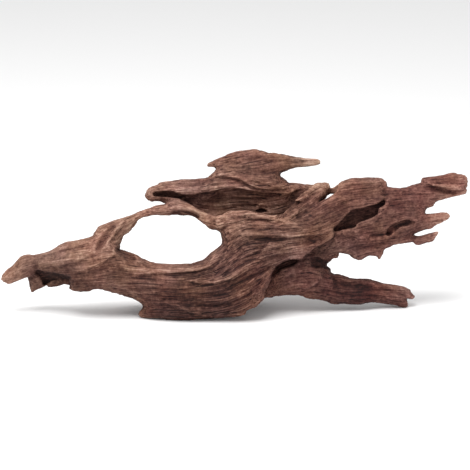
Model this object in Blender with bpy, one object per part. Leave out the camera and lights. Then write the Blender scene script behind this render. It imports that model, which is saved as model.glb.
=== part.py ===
"""A long piece of weathered driftwood, holed and furrowed by water, as one closed solid.

The wood is drawn in its front view. Every place is (x, h) or (x, h, d) in drawing units:
x to the right of the middle, h up the view plane and d behind it. The wood is DRAWN_LENGTH
units long, and the view plane leans back by TILT when the wood stands on its floor.

Sheets are outlines that swell to a lens in depth, and limbs are tapered rounds along a path.
They are joined with soft fillets, sunk in pits, creased and stepped along hand drawn strokes
and furrowed along the grain, and then skinned, thinned and given flat feet.
"""

import math

import bmesh
import bpy
import numpy as np

# Driving dimensions.
LENGTH = 0.467  # metres, from the tip of the beak to the end of the right arm
DRAWN_LENGTH = 467.0  # the same length in drawing units
UNIT = LENGTH / DRAWN_LENGTH
TILT = math.radians(15.0)
FLOOR = 3.6  # the height of the floor under the view frame's origin, in drawing units
MIDDLE_X = -0.3  # what is taken off x and y so that the origin lies under the middle of the box
MIDDLE_Y = 28.5
PLUMP = 0.4  # what the furrows take off the outline and this gives back, in drawing units

# How finely the wood is skinned, in drawing units, and how many triangles stay.
CELL = 1.6
TRIANGLES = 11400

# Soft joins.
JOIN_FILLET = 7.0
PIT_FILLET = 2.5

# Furrows along the grain: (spacing across, length along, depth, width), in drawing units. The
# width is how much of a wave the cut takes.
FURROWS = ((12.0, 150.0, 1.3, 0.26), (5.6, 95.0, 1.0, 0.38))
PATCH = 30.0  # how wide the stretches are where the furrows run deeper or shallower
WANDER = 45.0  # how far apart the fibres' bends are
FURROW_REACH = 5.5  # how far from the surface the furrows are cut
SEED = 11

# How far behind the front face the drawn grooves and ridges reach, and how deep and how proud
# they may be where several meet.
CREASE_REACH = 14.0
DEEPEST = 4.5
PROUDEST = 3.5

# A cut goes its full depth where the wood is this thick behind it, and is shallower elsewhere.
THICK = 7.0

# The big hole that the arch crosses.
HOLE = (
    (-115, 72), (-114, 78), (-111, 85), (-105.5, 89), (-100, 96), (-95, 102), (-85, 105),
    (-74, 106), (-55, 105.5), (-46, 105), (-37, 101), (-30, 96), (-24, 92), (-15.5, 89.5),
    (-13, 78.5), (-16, 74), (-24, 68), (-30, 62.5), (-39, 59), (-49, 57), (-72, 57),
    (-83, 58.5), (-92, 62.5), (-101, 67), (-112, 71),
)

# The front sheet: beak, arch, belly, furrowed column, and the near side of the right arm.
FRONT = (
    (-234, 41), (-234, 44), (-230, 50), (-223, 55), (-217, 62), (-210, 66.5), (-200, 66.5),
    (-187, 69.5), (-178, 74.5), (-169.5, 78.5), (-156, 81.5), (-143, 84.5), (-139.5, 89.5),
    (-135, 95), (-127, 98), (-119, 101), (-108, 104.5), (-96.5, 109), (-85, 113), (-77, 116),
    (-69, 117.5), (-65, 120.5), (-58.5, 121.5), (-51.5, 119.5), (-44, 116), (-37, 112),
    (-29, 108.5), (-21, 105), (-14, 105), (-4, 107.5), (2, 109.5), (13, 109.5), (23.5, 107),
    (35, 105.5), (48, 102.5), (61.5, 102.5), (72, 110), (84, 118), (90, 121.5), (95, 124),
    (100, 127.5), (102.5, 132), (104, 136), (113, 141), (124.5, 142), (143, 142), (150.5, 138.5),
    (152, 133), (166, 130), (160, 122), (149, 120.5), (143, 119), (135.5, 115.5), (127, 112),
    (119.5, 112.5), (114.5, 108), (105.5, 99), (99, 93.5), (98.5, 85), (93, 80.5), (82, 75),
    (75, 69.5), (69.5, 65.5), (64, 61.5), (52, 60.5), (43, 56.5), (39, 51), (37, 45), (34, 38),
    (29.5, 30), (28.5, 23), (22, 15.5), (12, 10.5), (9, 6.5), (-2, 4.5), (-18, 3), (-29, 3),
    (-40, 1.5), (-51, 0.5), (-64, 0), (-72.5, 2), (-83, 2.5), (-94, 4), (-96.5, 7), (-95, 10.5),
    (-91.5, 14.5), (-98.5, 21), (-105, 25.5), (-115, 27), (-119, 29), (-127, 30.5), (-139, 32.5),
    (-145.5, 30), (-152, 29.5), (-163, 30.5), (-164, 37), (-167, 43), (-172, 44.5), (-182, 46.5),
    (-188.5, 47), (-193.5, 48), (-198, 50.5), (-203.5, 46), (-210, 43), (-217.5, 40), (-226.5, 37),
)

# The jagged jaw, set back under the beak.
JAW = (
    (-207.5, 42), (-206.5, 36), (-204.5, 28), (-199.5, 30.5), (-193.5, 33), (-188.5, 35.5),
    (-187.5, 33.5), (-177, 34.5), (-170.5, 36.5), (-166, 35.5), (-166.5, 32), (-163, 30.5),
    (-152, 29.5), (-145, 37), (-150, 51), (-175, 59), (-195, 59), (-207, 51),
)

# The right arm: its broad end, its two prongs and the torn flaps along its underside.
ARM = (
    (104, 136), (113, 141), (124.5, 142), (143, 142), (150.5, 138.5), (152, 133.5), (155.5, 132),
    (169, 132), (178, 136), (187, 138.5), (187, 142.5), (189.5, 144), (198.5, 145), (208.5, 146.5),
    (217.5, 148.5), (224.5, 147.5), (232.5, 145), (233.5, 135), (232, 133), (233, 129.5),
    (230, 127), (220, 124.5), (209.5, 122), (202, 119.5), (198.5, 114.5), (192.5, 112.5),
    (190.5, 109), (192, 107), (200.5, 107.5), (209.5, 108.5), (214.5, 107.5), (216, 104.5),
    (211, 100.5), (202, 96), (197, 92), (189, 91), (179, 86.5), (184.5, 85.5), (193, 87.5),
    (203.5, 89.5), (202, 84), (198.5, 79.5), (191.5, 77.5), (185, 75.5), (180.5, 76.5),
    (178, 78.5), (169, 77.5), (159, 76), (153, 73), (149.5, 70.5), (148.5, 66.5), (144.5, 61.5),
    (142, 64.5), (134, 65), (127.5, 61.5), (123, 60.5), (118, 63.5), (114, 66), (110.5, 67),
    (104.5, 68), (93, 65), (80, 60), (65, 60), (52, 72), (55, 95), (74, 105), (90, 112),
    (101, 124),
)

# The lower limb with its stub and its forked end.
LIMB = (
    (90, 71), (98, 68.5), (104.5, 68), (103.5, 63), (99.5, 62.5), (95.5, 59), (92, 55.5),
    (95.5, 53), (98, 47.5), (107, 46), (118.5, 42), (134.5, 42), (139, 40), (150.5, 37),
    (163, 35.5), (173.5, 33), (179, 27.5), (182, 23), (179, 21), (174, 21.5), (174, 18.5),
    (175.5, 15.5), (171, 12), (163, 14.5), (150.5, 16.5), (138, 18), (125, 15.5), (109, 16.5),
    (100, 16), (93, 18.5), (82.5, 21.5), (74.5, 22), (61, 26), (43.5, 24.5), (29, 23), (13, 25),
    (10, 51), (27, 71), (65, 77),
)

# The back sheet: the prong on the left, the fin above it and the thin bridge on the right.
BACK = (
    (-90.5, 124.5), (-88.5, 129.5), (-86, 133), (-79, 136), (-73.5, 139), (-60.5, 141),
    (-42.5, 142), (-29, 143.5), (-24.5, 146.5), (-19.5, 152.5), (-22, 154.5), (-28, 155),
    (-27.5, 158), (-24, 159.5), (-12.5, 165), (-3.5, 169), (5, 171), (11.5, 171.5), (18, 173),
    (23, 172.5), (29.5, 170), (39.5, 168.5), (51, 167), (60.5, 165), (68, 164), (74.5, 163.5),
    (82.5, 163), (86.5, 160), (85, 157), (77, 155.5), (68.5, 154.5), (60.5, 153.5), (52, 151),
    (47, 149), (46, 146), (48, 143.5), (52, 141), (54.5, 138.5), (64.5, 137.5), (73.5, 136),
    (79.5, 135.5), (86, 134), (92, 133), (98, 133.5), (104, 136), (102, 128), (95, 128.5),
    (88.5, 128), (89.5, 124), (84, 118), (77, 112), (65, 99), (35, 89), (5, 88), (-9, 95),
    (-21, 101), (-35, 107), (-47, 111), (-60, 114), (-69.5, 117.5), (-72.5, 119.5), (-78, 120.5),
    (-86, 120.5), (-89.5, 123),
)

# Each sheet: its outline, and (x, h, d, fullness) spots. The middle of the sheet passes near
# each d, and it swells by the fullness there.
SHEETS = {
    "back": (BACK, (
        (-80, 128, 8, 0.8), (-20, 130, 18, 0.6), (20, 160, 28, 0.5), (80, 160, 34, 0.9),
        (30, 120, 26, 0.6), (70, 128, 18, 0.7), (95, 131, 12, 1.0),
    )),
    "front": (FRONT, (
        (-230, 46, 6, 0.8), (-195, 58, -2, 0.8), (-150, 60, -8, 0.85), (-119, 95, -8, 1.0),
        (-90, 109, -5, 1.4), (-60, 112, -2, 1.5), (-20, 100, -4, 1.0), (-95, 8, -2, 0.8),
        (-40, 30, -8, 0.75), (5, 75, -10, 0.75), (30, 40, -18, 0.65), (25, 100, -6, 0.75),
        (70, 100, -8, 0.6), (95, 88, -10, 0.5), (120, 125, 0, 0.38), (160, 128, 4, 0.4),
    )),
    "jaw": (JAW, ((-200, 35, 12, 0.8), (-160, 40, 8, 0.6))),
    "arm": (ARM, (
        (70, 80, 14, 0.6), (110, 75, 10, 0.5), (140, 80, 6, 0.5), (190, 100, 8, 0.5),
        (190, 82, 14, 0.6), (225, 135, 12, 0.7), (120, 120, 6, 0.5),
    )),
    "limb": (LIMB, (
        (20, 45, 16, 0.85), (60, 45, 14, 0.85), (110, 32, 24, 0.95), (172, 22, 34, 1.0),
    )),
}

# Limbs: a path of (x, h, d, radius), and how deep they are for their width. The back's limbs
# and pits are made before the front sheet is laid over them.
BACK_LIMBS = {
    "rear bridge": (1.0, ((30, 124, 34, 10), (60, 126, 26, 9), (88, 129, 16, 5))),
    "slot back": (1.0, ((-82, 127.5, 14, 5.5), (-60, 127, 17, 8), (-30, 125, 20, 8))),
}
LIMBS = {
    "knob": (0.9, ((48, 100, -4, 8), (60, 109, -3, 8.5), (73, 121, 0, 8.5), (84, 131, 5, 7),
                   (90, 135, 9, 4))),
    "rear belly": (1.0, ((-150, 46, 6, 9), (-95, 33, 22, 13), (-50, 32, 36, 15),
                         (5, 40, 42, 17), (45, 58, 36, 16), (70, 60, 26, 12))),
    "rear rib": (1.0, ((0, 42, 42, 15), (16, 78, 42, 16), (8, 112, 40, 13), (14, 145, 32, 8))),
    "rear arm": (1.0, ((16, 82, 40, 16), (70, 92, 34, 14), (125, 112, 22, 11),
                       (195, 130, 14, 7))),
    "heel": (1.0, ((-48, 32, 36, 14), (-66, 23, 45, 10.5))),
    "burl": (0.8, ((-13, 99, -13, 6.5), (-4, 102, -14, 8), (10, 102, -14, 7), (26, 101, -13, 4))),
}

# Pits in the front: (how deep, how far the wall slopes in, outline).
BACK_PITS = {
    "prong slot": (8, 2.5, ((-82, 127), (-79, 129.5), (-66, 130), (-55, 127.5), (-43, 126),
        (-35, 128), (-16, 130), (-10, 126), (-20, 116), (-33, 112), (-44, 115), (-51, 119),
        (-60, 122), (-70, 124), (-80, 125))),
    "trough": (11, 13, ((-40, 112), (-30, 122), (-19, 130), (-9, 133), (3, 133), (15, 130.5),
        (30, 128), (45, 127), (55, 129), (61, 129), (64, 125), (62, 116), (55, 104), (46, 99),
        (35, 98), (15, 98), (-7, 98), (-25, 100))),
    "trough pocket": (3.5, 5, ((53, 122), (62, 131), (73, 133), (77, 131), (70, 125), (61, 119))),
    "trough hole": (4.5, 1.6, ((21.5, 110.2), (24, 111.8), (28, 112.2), (31.5, 111.4),
        (32.8, 110), (27.5, 109.4))),
}
PITS = {
    "beak hollow": (6, 4.5, ((-199, 50), (-190, 50), (-178, 48), (-166, 45), (-164, 43),
        (-172, 41), (-177, 42.5), (-183, 40.5), (-188, 37.5), (-192, 36), (-193.5, 40),
        (-196, 45))),
    "beak diagonal": (3.2, 6, ((-122, 96), (-118, 94.5), (-125, 83), (-132, 71), (-138, 71),
        (-137, 78), (-131, 88))),
    "hole corner": (5, 2.5, ((-116, 73), (-109, 70), (-99, 64), (-101, 60), (-110, 63),
        (-117, 69))),
    "knob pocket": (3.5, 5, ((42, 104), (47, 112), (57, 118.5), (66, 119), (63, 113), (56, 107),
        (49, 102))),
    "arch underside": (5, 4, ((-64, 107), (-60, 110), (-50, 110.5), (-42, 108.5), (-35, 104),
        (-40, 102), (-50, 103), (-60, 104))),
    "window": (11, 3, ((98.5, 92.5), (106, 100.5), (116, 110.5), (125, 112.5), (133, 115),
        (142.5, 117.5), (149, 121.5), (149.5, 116.5), (144, 112.5), (143, 107.5), (136, 103),
        (123, 98), (119.5, 93.5), (109, 91.5), (100, 90))),
    "crescent": (4.6, 3, ((152.5, 90.5), (157, 95), (163, 98), (171, 100.2), (179.5, 98.5),
        (173, 96), (165, 94), (158, 89), (153.3, 86))),
    "lip recess": (6, 4, ((35, 43), (38, 51), (44, 57), (54, 61), (63, 61), (60, 57), (55, 55),
        (48, 52), (41, 46))),
    "stub hole": (5, 3, ((75, 62), (82, 64), (88, 61), (96, 60), (97, 55), (91, 52), (87, 54),
        (80, 53), (76, 57))),
}

# Creases in the front: (half width, depth, stroke); a negative depth is a ridge.
CREASES = {
    "beak top groove": (3, 1.6, ((-185, 66.5), (-169, 70.5), (-155, 73), (-143, 76))),
    "beak keel": (3, -2, ((-197, 57.5), (-180, 59), (-165, 64), (-154, 68.5), (-142, 72.5))),
    "beak diagonal ridge": (2.2, -1.4, ((-108, 104), (-118, 92), (-126, 79), (-132, 69))),
    "beak second diagonal": (2.2, 1.6, ((-106, 99), (-116, 87), (-123, 75))),
    "cheek ridge": (3.5, -1.8, ((-149, 39), (-128, 38.5), (-108, 33), (-94, 24))),
    "cheek hollow": (4, 1.8, ((-147, 47), (-132, 51), (-119, 57))),
    "jaw tooth": (2.5, -1.5, ((-205, 42), (-202, 32))),
    "hole ridge": (3.2, -2.6, ((-115, 59), (-105, 52), (-85, 51), (-67, 52.5), (-53, 52.5),
        (-38, 54.5), (-26, 59.5), (-16, 70))),
    "tongue": (3.2, -2.4, ((-53, 43), (-38, 40.5), (-18, 39.5), (-3, 45), (8, 51), (20, 58),
        (29, 66))),
    "belly furrow": (3, 1.6, ((-107, 31), (-85, 33), (-65, 31.5), (-45, 30), (-22, 27), (-3, 25))),
    "belly low furrow": (3, 1.6, ((-85, 23), (-60, 21.5), (-35, 18), (-9, 16), (9, 21))),
    "second furrow": (2, 2.6, ((8, 78.5), (20, 81), (34, 81.5), (53, 80))),
    "third furrow": (2, 1.8, ((49, 75.5), (65, 77.5), (83, 80), (95, 85))),
    "hole side fibres": (2, 2.2, ((-10, 85), (-9, 72), (-16, 59), (-27, 49))),
    "hole outer fibres": (2, 2.2, ((-4, 81), (-3, 69), (-10, 56), (-22, 45))),
    "far fibres": (2, 2, ((3, 78), (6, 68), (-3, 55), (-13, 44))),
    "column rim": (1.6, -1.5, ((96, 84.5), (89, 79), (79, 73), (72, 67.5), (62, 61), (51, 59),
        (41, 55), (35.5, 48), (32, 39), (27, 30), (26, 23))),
    "fan one": (2, 2.4, ((-11, 30), (3, 38), (17, 45), (29, 51), (45, 59))),
    "fan two": (2, 2, ((9, 59), (17, 64), (29, 68), (43, 71), (57, 72))),
    "fan three": (2.2, 2, ((11, 25), (21, 35), (30, 45))),
    "fan four": (2, 1.8, ((11, 53), (23, 59.5), (37, 64), (53, 66))),
    "burl brow": (3.2, -2, ((3, 107.5), (17, 108), (27, 104.5), (41, 103))),
    "burl wrinkle": (1.6, 1.8, ((-16, 95), (-13, 101.5), (-5, 105), (6, 104), (17, 100))),
    "burl low wrinkle": (1.5, 1.6, ((-14, 89), (-9, 95), (0, 98), (12, 96.5))),
    "burl furrow": (2, 2.4, ((5, 100), (20, 101), (40, 99.5), (57, 96))),
    "brow furrow": (1.8, 1.8, ((19, 104), (31, 100), (45, 95), (61, 93))),
    "burl low furrow": (1.8, 1.6, ((-5, 91.5), (10, 92), (27, 93), (47, 91), (67, 90.5))),
    "fin top groove": (2, 1.8, ((-18, 154), (-5, 161.5), (11, 168.5))),
    "fin second groove": (2, 1.5, ((-7, 155), (10, 161), (28, 164.5))),
    "fin third groove": (2, 1.4, ((27, 158), (45, 160.5), (65, 162.5))),
    "fin low groove": (2.4, 1.2, ((5, 151), (23, 150), (41, 149))),
    "prong brow": (2.4, -1.6, ((-87, 129.5), (-70, 132), (-45, 130.5), (-32, 132.5), (-24, 137),
        (-16, 141.5))),
    "prong groove": (2.4, 1.4, ((-80, 134.5), (-60, 136), (-40, 136.5), (-28, 140.5))),
    "knob crack": (1.8, 4.5, ((61, 102.5), (73, 110), (85, 118.5))),
    "knob groove": (2, 1.2, ((65, 117), (75, 125), (83, 132))),
    "arm brow": (2.5, -1.6, ((105, 135), (115, 139), (127, 138.5), (145, 140))),
    "arm step": (2.5, 2.4, ((147, 140), (151, 132), (149, 123))),
    "arm furrow": (2.2, 1.8, ((151, 114), (168, 114), (183, 116))),
    "arm slab rim": (2, -1.5, ((106, 137), (116, 139.5), (128, 139.5), (144, 139.5))),
    "arm end furrow": (2, 1.6, ((195, 137), (211, 139), (228, 137.5))),
    "arm end gash": (2.4, 3.2, ((189, 134), (202, 132.5), (217, 129), (226, 126.5))),
    "arm end ridge": (2.2, -1.6, ((183, 133.5), (199, 135.5), (220, 133.5), (231, 130.5))),
    "window lobe": (2.4, -2.6, ((122, 94), (121, 88), (126, 82.5), (136, 85))),
    "dotted groove": (1.6, 1.8, ((132, 83), (145, 86), (155, 88))),
    "arm low groove": (2, 1.6, ((163, 79), (178, 86.5), (189, 91.5), (206, 100.5))),
    "arm under window": (3, 1.6, ((103, 84), (113, 83), (121, 76), (131, 72))),
    "arm flap groove": (2.2, 1.4, ((117, 71), (133, 74), (150, 78), (163, 85))),
    "arm face groove": (2.2, 1.2, ((87, 104), (102, 113), (117, 121), (135, 128))),
    "leaf hollow": (4, 1.6, ((49, 41), (63, 45), (77, 44))),
    "leaf rim": (1.7, -2, ((38, 46), (46, 51.5), (61, 53.5), (79, 52.5), (88, 47), (86, 41))),
    "limb groove": (2.2, 1.8, ((67, 26.5), (93, 30), (110, 26), (137, 25.5), (157, 24))),
    "limb crack": (1.8, 2, ((98, 47), (101, 37))),
    "limb tip groove": (2.2, 1.6, ((145, 32), (160, 29), (174, 24))),
    "limb ridge": (2.5, -1.5, ((103, 44.5), (120, 40), (141, 37.5), (161, 32.5))),
    "limb hollow": (5.5, 5, ((97, 35), (110, 35), (125, 34), (143, 32))),
}

# Ledges in the front: (height, reach above, reach below, stroke). The wood on the left of the
# stroke's way stands proud of the wood on its right.
LEDGES = {
    "burl eave": (4.4, 5, 5, ((4, 85.5), (20, 84), (40, 85), (54, 83.6), (72, 85), (88, 86.4),
        (97, 89.5))),
    "hole lip": (2.6, 4, 5, ((-106, 42), (-93, 46.5), (-77, 48), (-63, 48.5), (-50, 49), (-37, 50),
        (-26, 54.5), (-17, 63))),
    "tongue edge": (2.6, 4, 5, ((-54, 41), (-38, 38.5), (-18, 38), (-1, 43), (12, 50), (22, 56.5),
        (31, 65))),
    "belly lip": (2.6, 2.5, 6, ((-73, 19), (-59, 14.5), (-45, 9.5), (-31, 5.5))),
    "fin fold": (4, 5, 7, ((-30, 144.5), (-12, 144.5), (4, 142), (12, 137), (22, 132.5),
        (36, 131), (50, 131.5), (60, 136))),
    "fin crest": (2.2, 4, 6, ((10, 142), (24, 139), (38, 134), (52, 133))),
    "arm end fold": (2.8, 6, 6, ((183, 137), (195, 136.5), (206, 133), (218, 130.5), (230, 130))),
    "crescent brow": (1.8, 3, 3, ((179, 98.5), (171, 100.5), (163, 98.5), (157, 95), (152, 89))),
    "window brow": (1.8, 4, 3, ((149, 121), (142, 118.5), (128, 114.5), (115, 111.5), (105, 102),
        (98, 92))),
    "arm shoulder": (2.2, 5, 6, ((153, 133), (166, 131.5), (180, 128), (194, 127))),
    "burl side": (2.6, 5, 4, ((-18, 107), (-19.5, 99), (-17, 89), (-13, 82))),
    "flap edge": (3.2, 4, 6, ((36, 82), (32, 77), (27, 71), (21, 64))),
    "leaf": (2.6, 3, 3, ((65, 29), (79, 35), (88, 43), (86, 48), (79, 52), (61, 53), (46, 51.5),
        (38, 46))),
    "knob side": (2.4, 5, 4, ((88, 131), (72, 119), (57, 107), (47, 100))),
    "arm cheek": (1.8, 4, 5, ((100, 104), (117, 111), (135, 119), (150, 124))),
    "beak brow": (1.8, 6, 6, ((-198, 50.5), (-180, 54), (-165, 57), (-150, 62), (-136, 69))),
    "cheek roll": (2.6, 5, 5, ((-163, 47.5), (-150, 50), (-138, 54), (-127, 60), (-117, 68))),
    "beak nose": (2.2, 4, 4, ((-194, 62), (-197, 58.5), (-196, 53), (-191, 48.5))),
    "beak fold": (2, 4, 4, ((-155, 64.5), (-168, 62), (-182, 60.5), (-191, 58.5))),
}

# The same for the rear, seen through from the front.
REAR_PITS = {
    "rear knot": (9, 3, ((88, 96), (94, 101), (103, 101), (107, 95), (101, 90), (92, 90))),
    "rear split": (5, 2.5, ((-75, 28), (-55, 31), (-30, 31), (-12, 34), (-14, 38), (-35, 36.5),
        (-60, 35), (-76, 31))),
    "rear gash": (9, 2.5, ((18, 60), (24, 72), (22, 90), (17, 100), (13, 96), (15, 80),
        (13, 66))),
    "rear arm split": (7, 2.5, ((120, 106), (140, 112), (165, 118), (185, 124), (184, 128),
        (160, 123), (135, 117), (119, 110))),
    "rear fin hollow": (8, 4, ((-25, 128), (-5, 134), (20, 138), (45, 140), (44, 145), (15, 146),
        (-10, 141), (-26, 133))),
}
REAR_CREASES = {
    "rear beak furrow": (3, 2.5, ((-215, 50), (-190, 55), (-160, 60), (-130, 70))),
    "rear beak low furrow": (3, 2, ((-190, 45), (-160, 45), (-125, 50))),
    "rear arch furrow": (2.5, 2, ((-110, 92), (-90, 106), (-60, 112), (-35, 106))),
    "rear fin furrow": (3, 2.5, ((-18, 155), (10, 158), (45, 160), (75, 160))),
    "rear fin fold": (3.5, -2.5, ((-70, 132), (-40, 134), (-10, 146), (20, 151), (45, 151))),
    "rear prong furrow": (2.5, 2, ((-80, 128), (-50, 128), (-20, 132))),
    "rear arm furrow": (3, 2.5, ((60, 84), (95, 82), (130, 90), (160, 98))),
    "rear limb furrow": (3, 2.5, ((30, 40), (70, 42), (110, 34), (160, 26))),
    "rear heel furrow": (3, 2.5, ((-90, 22), (-50, 18), (0, 22), (30, 35))),
}

REAR_LEDGES = {
    "rear fin fold": (2.4, 4, 7, ((-25, 141), (0, 144), (25, 150), (50, 150))),
    "rear rib edge": (2.6, 5, 5, ((30, 50), (38, 80), (32, 105), (25, 125))),
    "rear arm edge": (2.2, 5, 5, ((110, 100), (140, 106), (170, 114), (200, 124))),
    "rear hole lip": (2.4, 4, 5, ((-100, 50), (-60, 46), (-25, 50), (-8, 65))),
}

# How strongly the grain shows near each (x, h, level) spot.
GRAIN_LEVELS = (
    (-215, 50, 0.25), (-170, 60, 0.3), (-120, 80, 0.5), (-60, 112, 0.6), (-90, 30, 0.8),
    (-40, 20, 1.0), (0, 40, 1.1), (20, 70, 1.1), (50, 80, 1.0), (30, 100, 1.0), (10, 160, 0.6),
    (-50, 132, 0.7), (120, 128, 0.35), (150, 110, 0.55), (200, 135, 0.45), (150, 80, 0.6),
    (80, 40, 0.5), (150, 28, 0.5), (42, 34, 0.3),
)

# Grain: strokes that the fibres follow, all drawn from left to right.
GRAIN = (
    ((-233, 43), (-210, 59), (-175, 69), (-140, 78), (-117, 89), (-95, 105), (-60, 114), (-30, 104),
     (-5, 98), (35, 100), (65, 98), (100, 112), (150, 132)),
    ((-227, 39), (-190, 50), (-155, 50), (-125, 58), (-100, 55), (-70, 51), (-40, 53), (-20, 64),
     (-5, 84), (12, 102), (40, 102)),
    ((-165, 34), (-125, 37), (-85, 37), (-45, 38), (-15, 46), (5, 60), (28, 70), (65, 75),
     (92, 84)),
    ((-95, 21), (-55, 18), (-15, 21), (15, 31), (33, 46), (50, 60)),
    ((-92, 7), (-35, 4), (5, 10), (27, 25)),
    ((-88, 127), (-55, 133), (-20, 138), (5, 136), (35, 131), (75, 133)),
    ((-25, 118), (15, 117), (55, 120), (83, 133)),
    ((-23, 152), (15, 154), (50, 162), (84, 160)),
    ((-26, 157), (10, 168), (40, 167)),
    ((33, 96), (55, 107), (83, 131)),
    ((105, 130), (145, 135), (195, 136), (231, 139)),
    ((110, 114), (155, 124), (195, 128), (231, 132)),
    ((105, 84), (130, 95), (165, 108), (213, 105)),
    ((116, 66), (145, 79), (175, 92), (211, 104)),
    ((152, 75), (185, 80), (202, 87)),
    ((27, 29), (50, 36), (85, 36), (125, 29), (180, 24)),
    ((45, 51), (75, 53), (100, 43), (135, 38), (177, 28)),
)


def rounded(points, cuts=4):
    """A closed outline as a smooth curve through its points."""
    p = np.array(points, float)
    before, after, beyond = np.roll(p, 1, 0), np.roll(p, -1, 0), np.roll(p, -2, 0)
    out = []
    for t in np.arange(cuts) / cuts:
        out.append(
            0.5 * (2 * p + (after - before) * t
                   + (2 * before - 5 * p + 4 * after - beyond) * t**2
                   + (3 * p - before - 3 * after + beyond) * t**3)
        )
    return np.stack(out, 1).reshape(-1, 2)


def depth_inside(outline, x, h):
    """How far each place (x, h) lies inside a closed outline; negative outside."""
    corners = rounded(outline)
    nearest = np.full(np.broadcast(x, h).shape, 1e9)
    inside = np.zeros(nearest.shape, bool)
    for (ax, ah), (bx, bh) in zip(corners, np.roll(corners, -1, 0)):
        ex, eh = bx - ax, bh - ah
        t = np.clip(((x - ax) * ex + (h - ah) * eh) / (ex * ex + eh * eh + 1e-12), 0, 1)
        nearest = np.minimum(nearest, (x - ax - t * ex) ** 2 + (h - ah - t * eh) ** 2)
        if ah != bh:
            crosses = (ah > h) != (bh > h)
            inside ^= crosses & (x < ax + (h - ah) * ex / eh)
    return np.where(inside, 1, -1) * np.sqrt(nearest)


def conjugate_gradients(apply, right, start, rounds):
    """The solution of apply(v) = right, for a symmetric positive apply."""
    v = start.copy()
    rest = right - apply(v)
    way = rest.copy()
    size = (rest * rest).sum()
    for _ in range(rounds):
        moved = apply(way)
        length = size / ((way * moved).sum() + 1e-30)
        v += length * way
        rest -= length * moved
        new_size = (rest * rest).sum()
        if new_size < 1e-10 * (right * right).sum():
            break
        way = rest + (new_size / size) * way
        size = new_size
    return v


def swell(inside, step, rounds=600):
    """The squared half depth of a sheet: a soap film's height over the outline, so that every
    cross section is a lens whose depth goes with the width there."""
    mask = inside > -step

    def stiffness(v):
        v = v * mask
        out = 4 * v
        out[1:] -= v[:-1]
        out[:-1] -= v[1:]
        out[:, 1:] -= v[:, :-1]
        out[:, :-1] -= v[:, 1:]
        return np.where(mask, out, v)

    load = np.where(mask, 2.0 * step * step, 0.0)
    film = conjugate_gradients(stiffness, load, load, rounds)
    rim = 2.0
    shaped = film * inside / (inside + rim)
    return np.where(inside > 0, shaped, 8.0 * inside)


def through_spots(spots, x, h, reach=30.0):
    """A smooth value over (x, h) that passes near each (x, h, value) spot."""
    total, weight = 0.0, 0.0
    for sx, sh, value in spots:
        w = 1.0 / ((x - sx) ** 2 + (h - sh) ** 2 + reach**2) ** 2
        total, weight = total + w * value, weight + w
    return total / weight


def grain_frame(x, h):
    """(along, across): how far each place lies along the fibres and across them."""
    way_x, way_h = np.zeros((2,) + x.shape)
    for stroke in GRAIN:
        for (ax, ah), (bx, bh) in zip(stroke, stroke[1:]):
            ex, eh = bx - ax, bh - ah
            t = np.clip(((x - ax) * ex + (h - ah) * eh) / (ex * ex + eh * eh), 0, 1)
            near = (x - ax - t * ex) ** 2 + (h - ah - t * eh) ** 2
            weight = 1.0 / (near + 36.0) ** 2
            way_x, way_h = way_x + ex * weight, way_h + eh * weight
    size = np.hypot(way_x, way_h)
    way_x, way_h = way_x / size, way_h / size
    step = x[1, 0] - x[0, 0]

    def slopes(v):
        out_x, out_h = np.zeros_like(v), np.zeros_like(v)
        out_x[:-1], out_h[:, :-1] = v[1:] - v[:-1], v[:, 1:] - v[:, :-1]
        return out_x / step, out_h / step

    def gather(gx, gh):
        out = np.zeros_like(gx)
        out[1:] += gx[:-1]
        out[:-1] -= gx[:-1]
        out[:, 1:] += gh[:, :-1]
        out[:, :-1] -= gh[:, :-1]
        return out / step

    def potential(want_x, want_h, hold, start):
        """The height whose slope follows (want_x, want_h) and barely changes along hold."""
        firm = 12.0

        def pull(v):
            gx, gh = slopes(v)
            along = firm * (gx * hold[0] + gh * hold[1])
            return gather(gx + along * hold[0], gh + along * hold[1])

        return conjugate_gradients(pull, gather(want_x, want_h), start, 900)

    across = potential(-way_h, way_x, (way_x, way_h), h.copy())
    along = potential(way_x, way_h, (0 * way_x, 0 * way_x), x.copy())
    return along, across


def wave_noise(a, b, c, seed):
    """Smooth gradient noise between about -1 and 1, one wave to each unit of a, b and c."""
    table = np.random.default_rng(seed).normal(size=(32, 32, 32, 3)).astype(np.float32)
    table /= np.linalg.norm(table, axis=3, keepdims=True)
    places = [np.asarray(v, np.float32) for v in (a, b, c)]
    cells = [np.floor(v).astype(np.int32) for v in places]
    parts = [v - w for v, w in zip(places, cells)]
    ease = [t * t * t * (t * (6 * t - 15) + 10) for t in parts]
    total = np.zeros(places[0].shape, np.float32)
    for i in (0, 1):
        for j in (0, 1):
            for k in (0, 1):
                corner = table[(cells[0] + i) % 32, (cells[1] + j) % 32, (cells[2] + k) % 32]
                dot = ((parts[0] - i) * corner[..., 0] + (parts[1] - j) * corner[..., 1]
                       + (parts[2] - k) * corner[..., 2])
                share = ((ease[0] if i else 1 - ease[0]) * (ease[1] if j else 1 - ease[1])
                         * (ease[2] if k else 1 - ease[2]))
                total += share * dot
    return 1.6 * total


def furrows(along, across, behind, level=1.0):
    """How far the furrows cut in: narrow grooves between rounded ridges, along the grain."""
    cut = np.zeros(np.shape(behind), np.float32)
    for i, (spacing, length, depth, width) in enumerate(FURROWS):
        wave = wave_noise(across / spacing, behind / spacing, along / length, SEED + i)
        patch = wave_noise(across / PATCH, behind / PATCH, along / (2 * PATCH), SEED + 20 + i)
        cut += depth * (1 + 0.6 * patch) * (np.exp(-((np.abs(wave) / width) ** 1.3)) - 0.25)
    return cut * level


def soft_union(a, b, fillet):
    mix = np.maximum(fillet - np.abs(a - b), 0.0) / fillet
    return np.minimum(a, b) - mix * mix * fillet * 0.25


def soft_cut(a, b, fillet):
    """What is left of the solid a once the solid b is taken away."""
    return -soft_union(-a, b, fillet)


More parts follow.
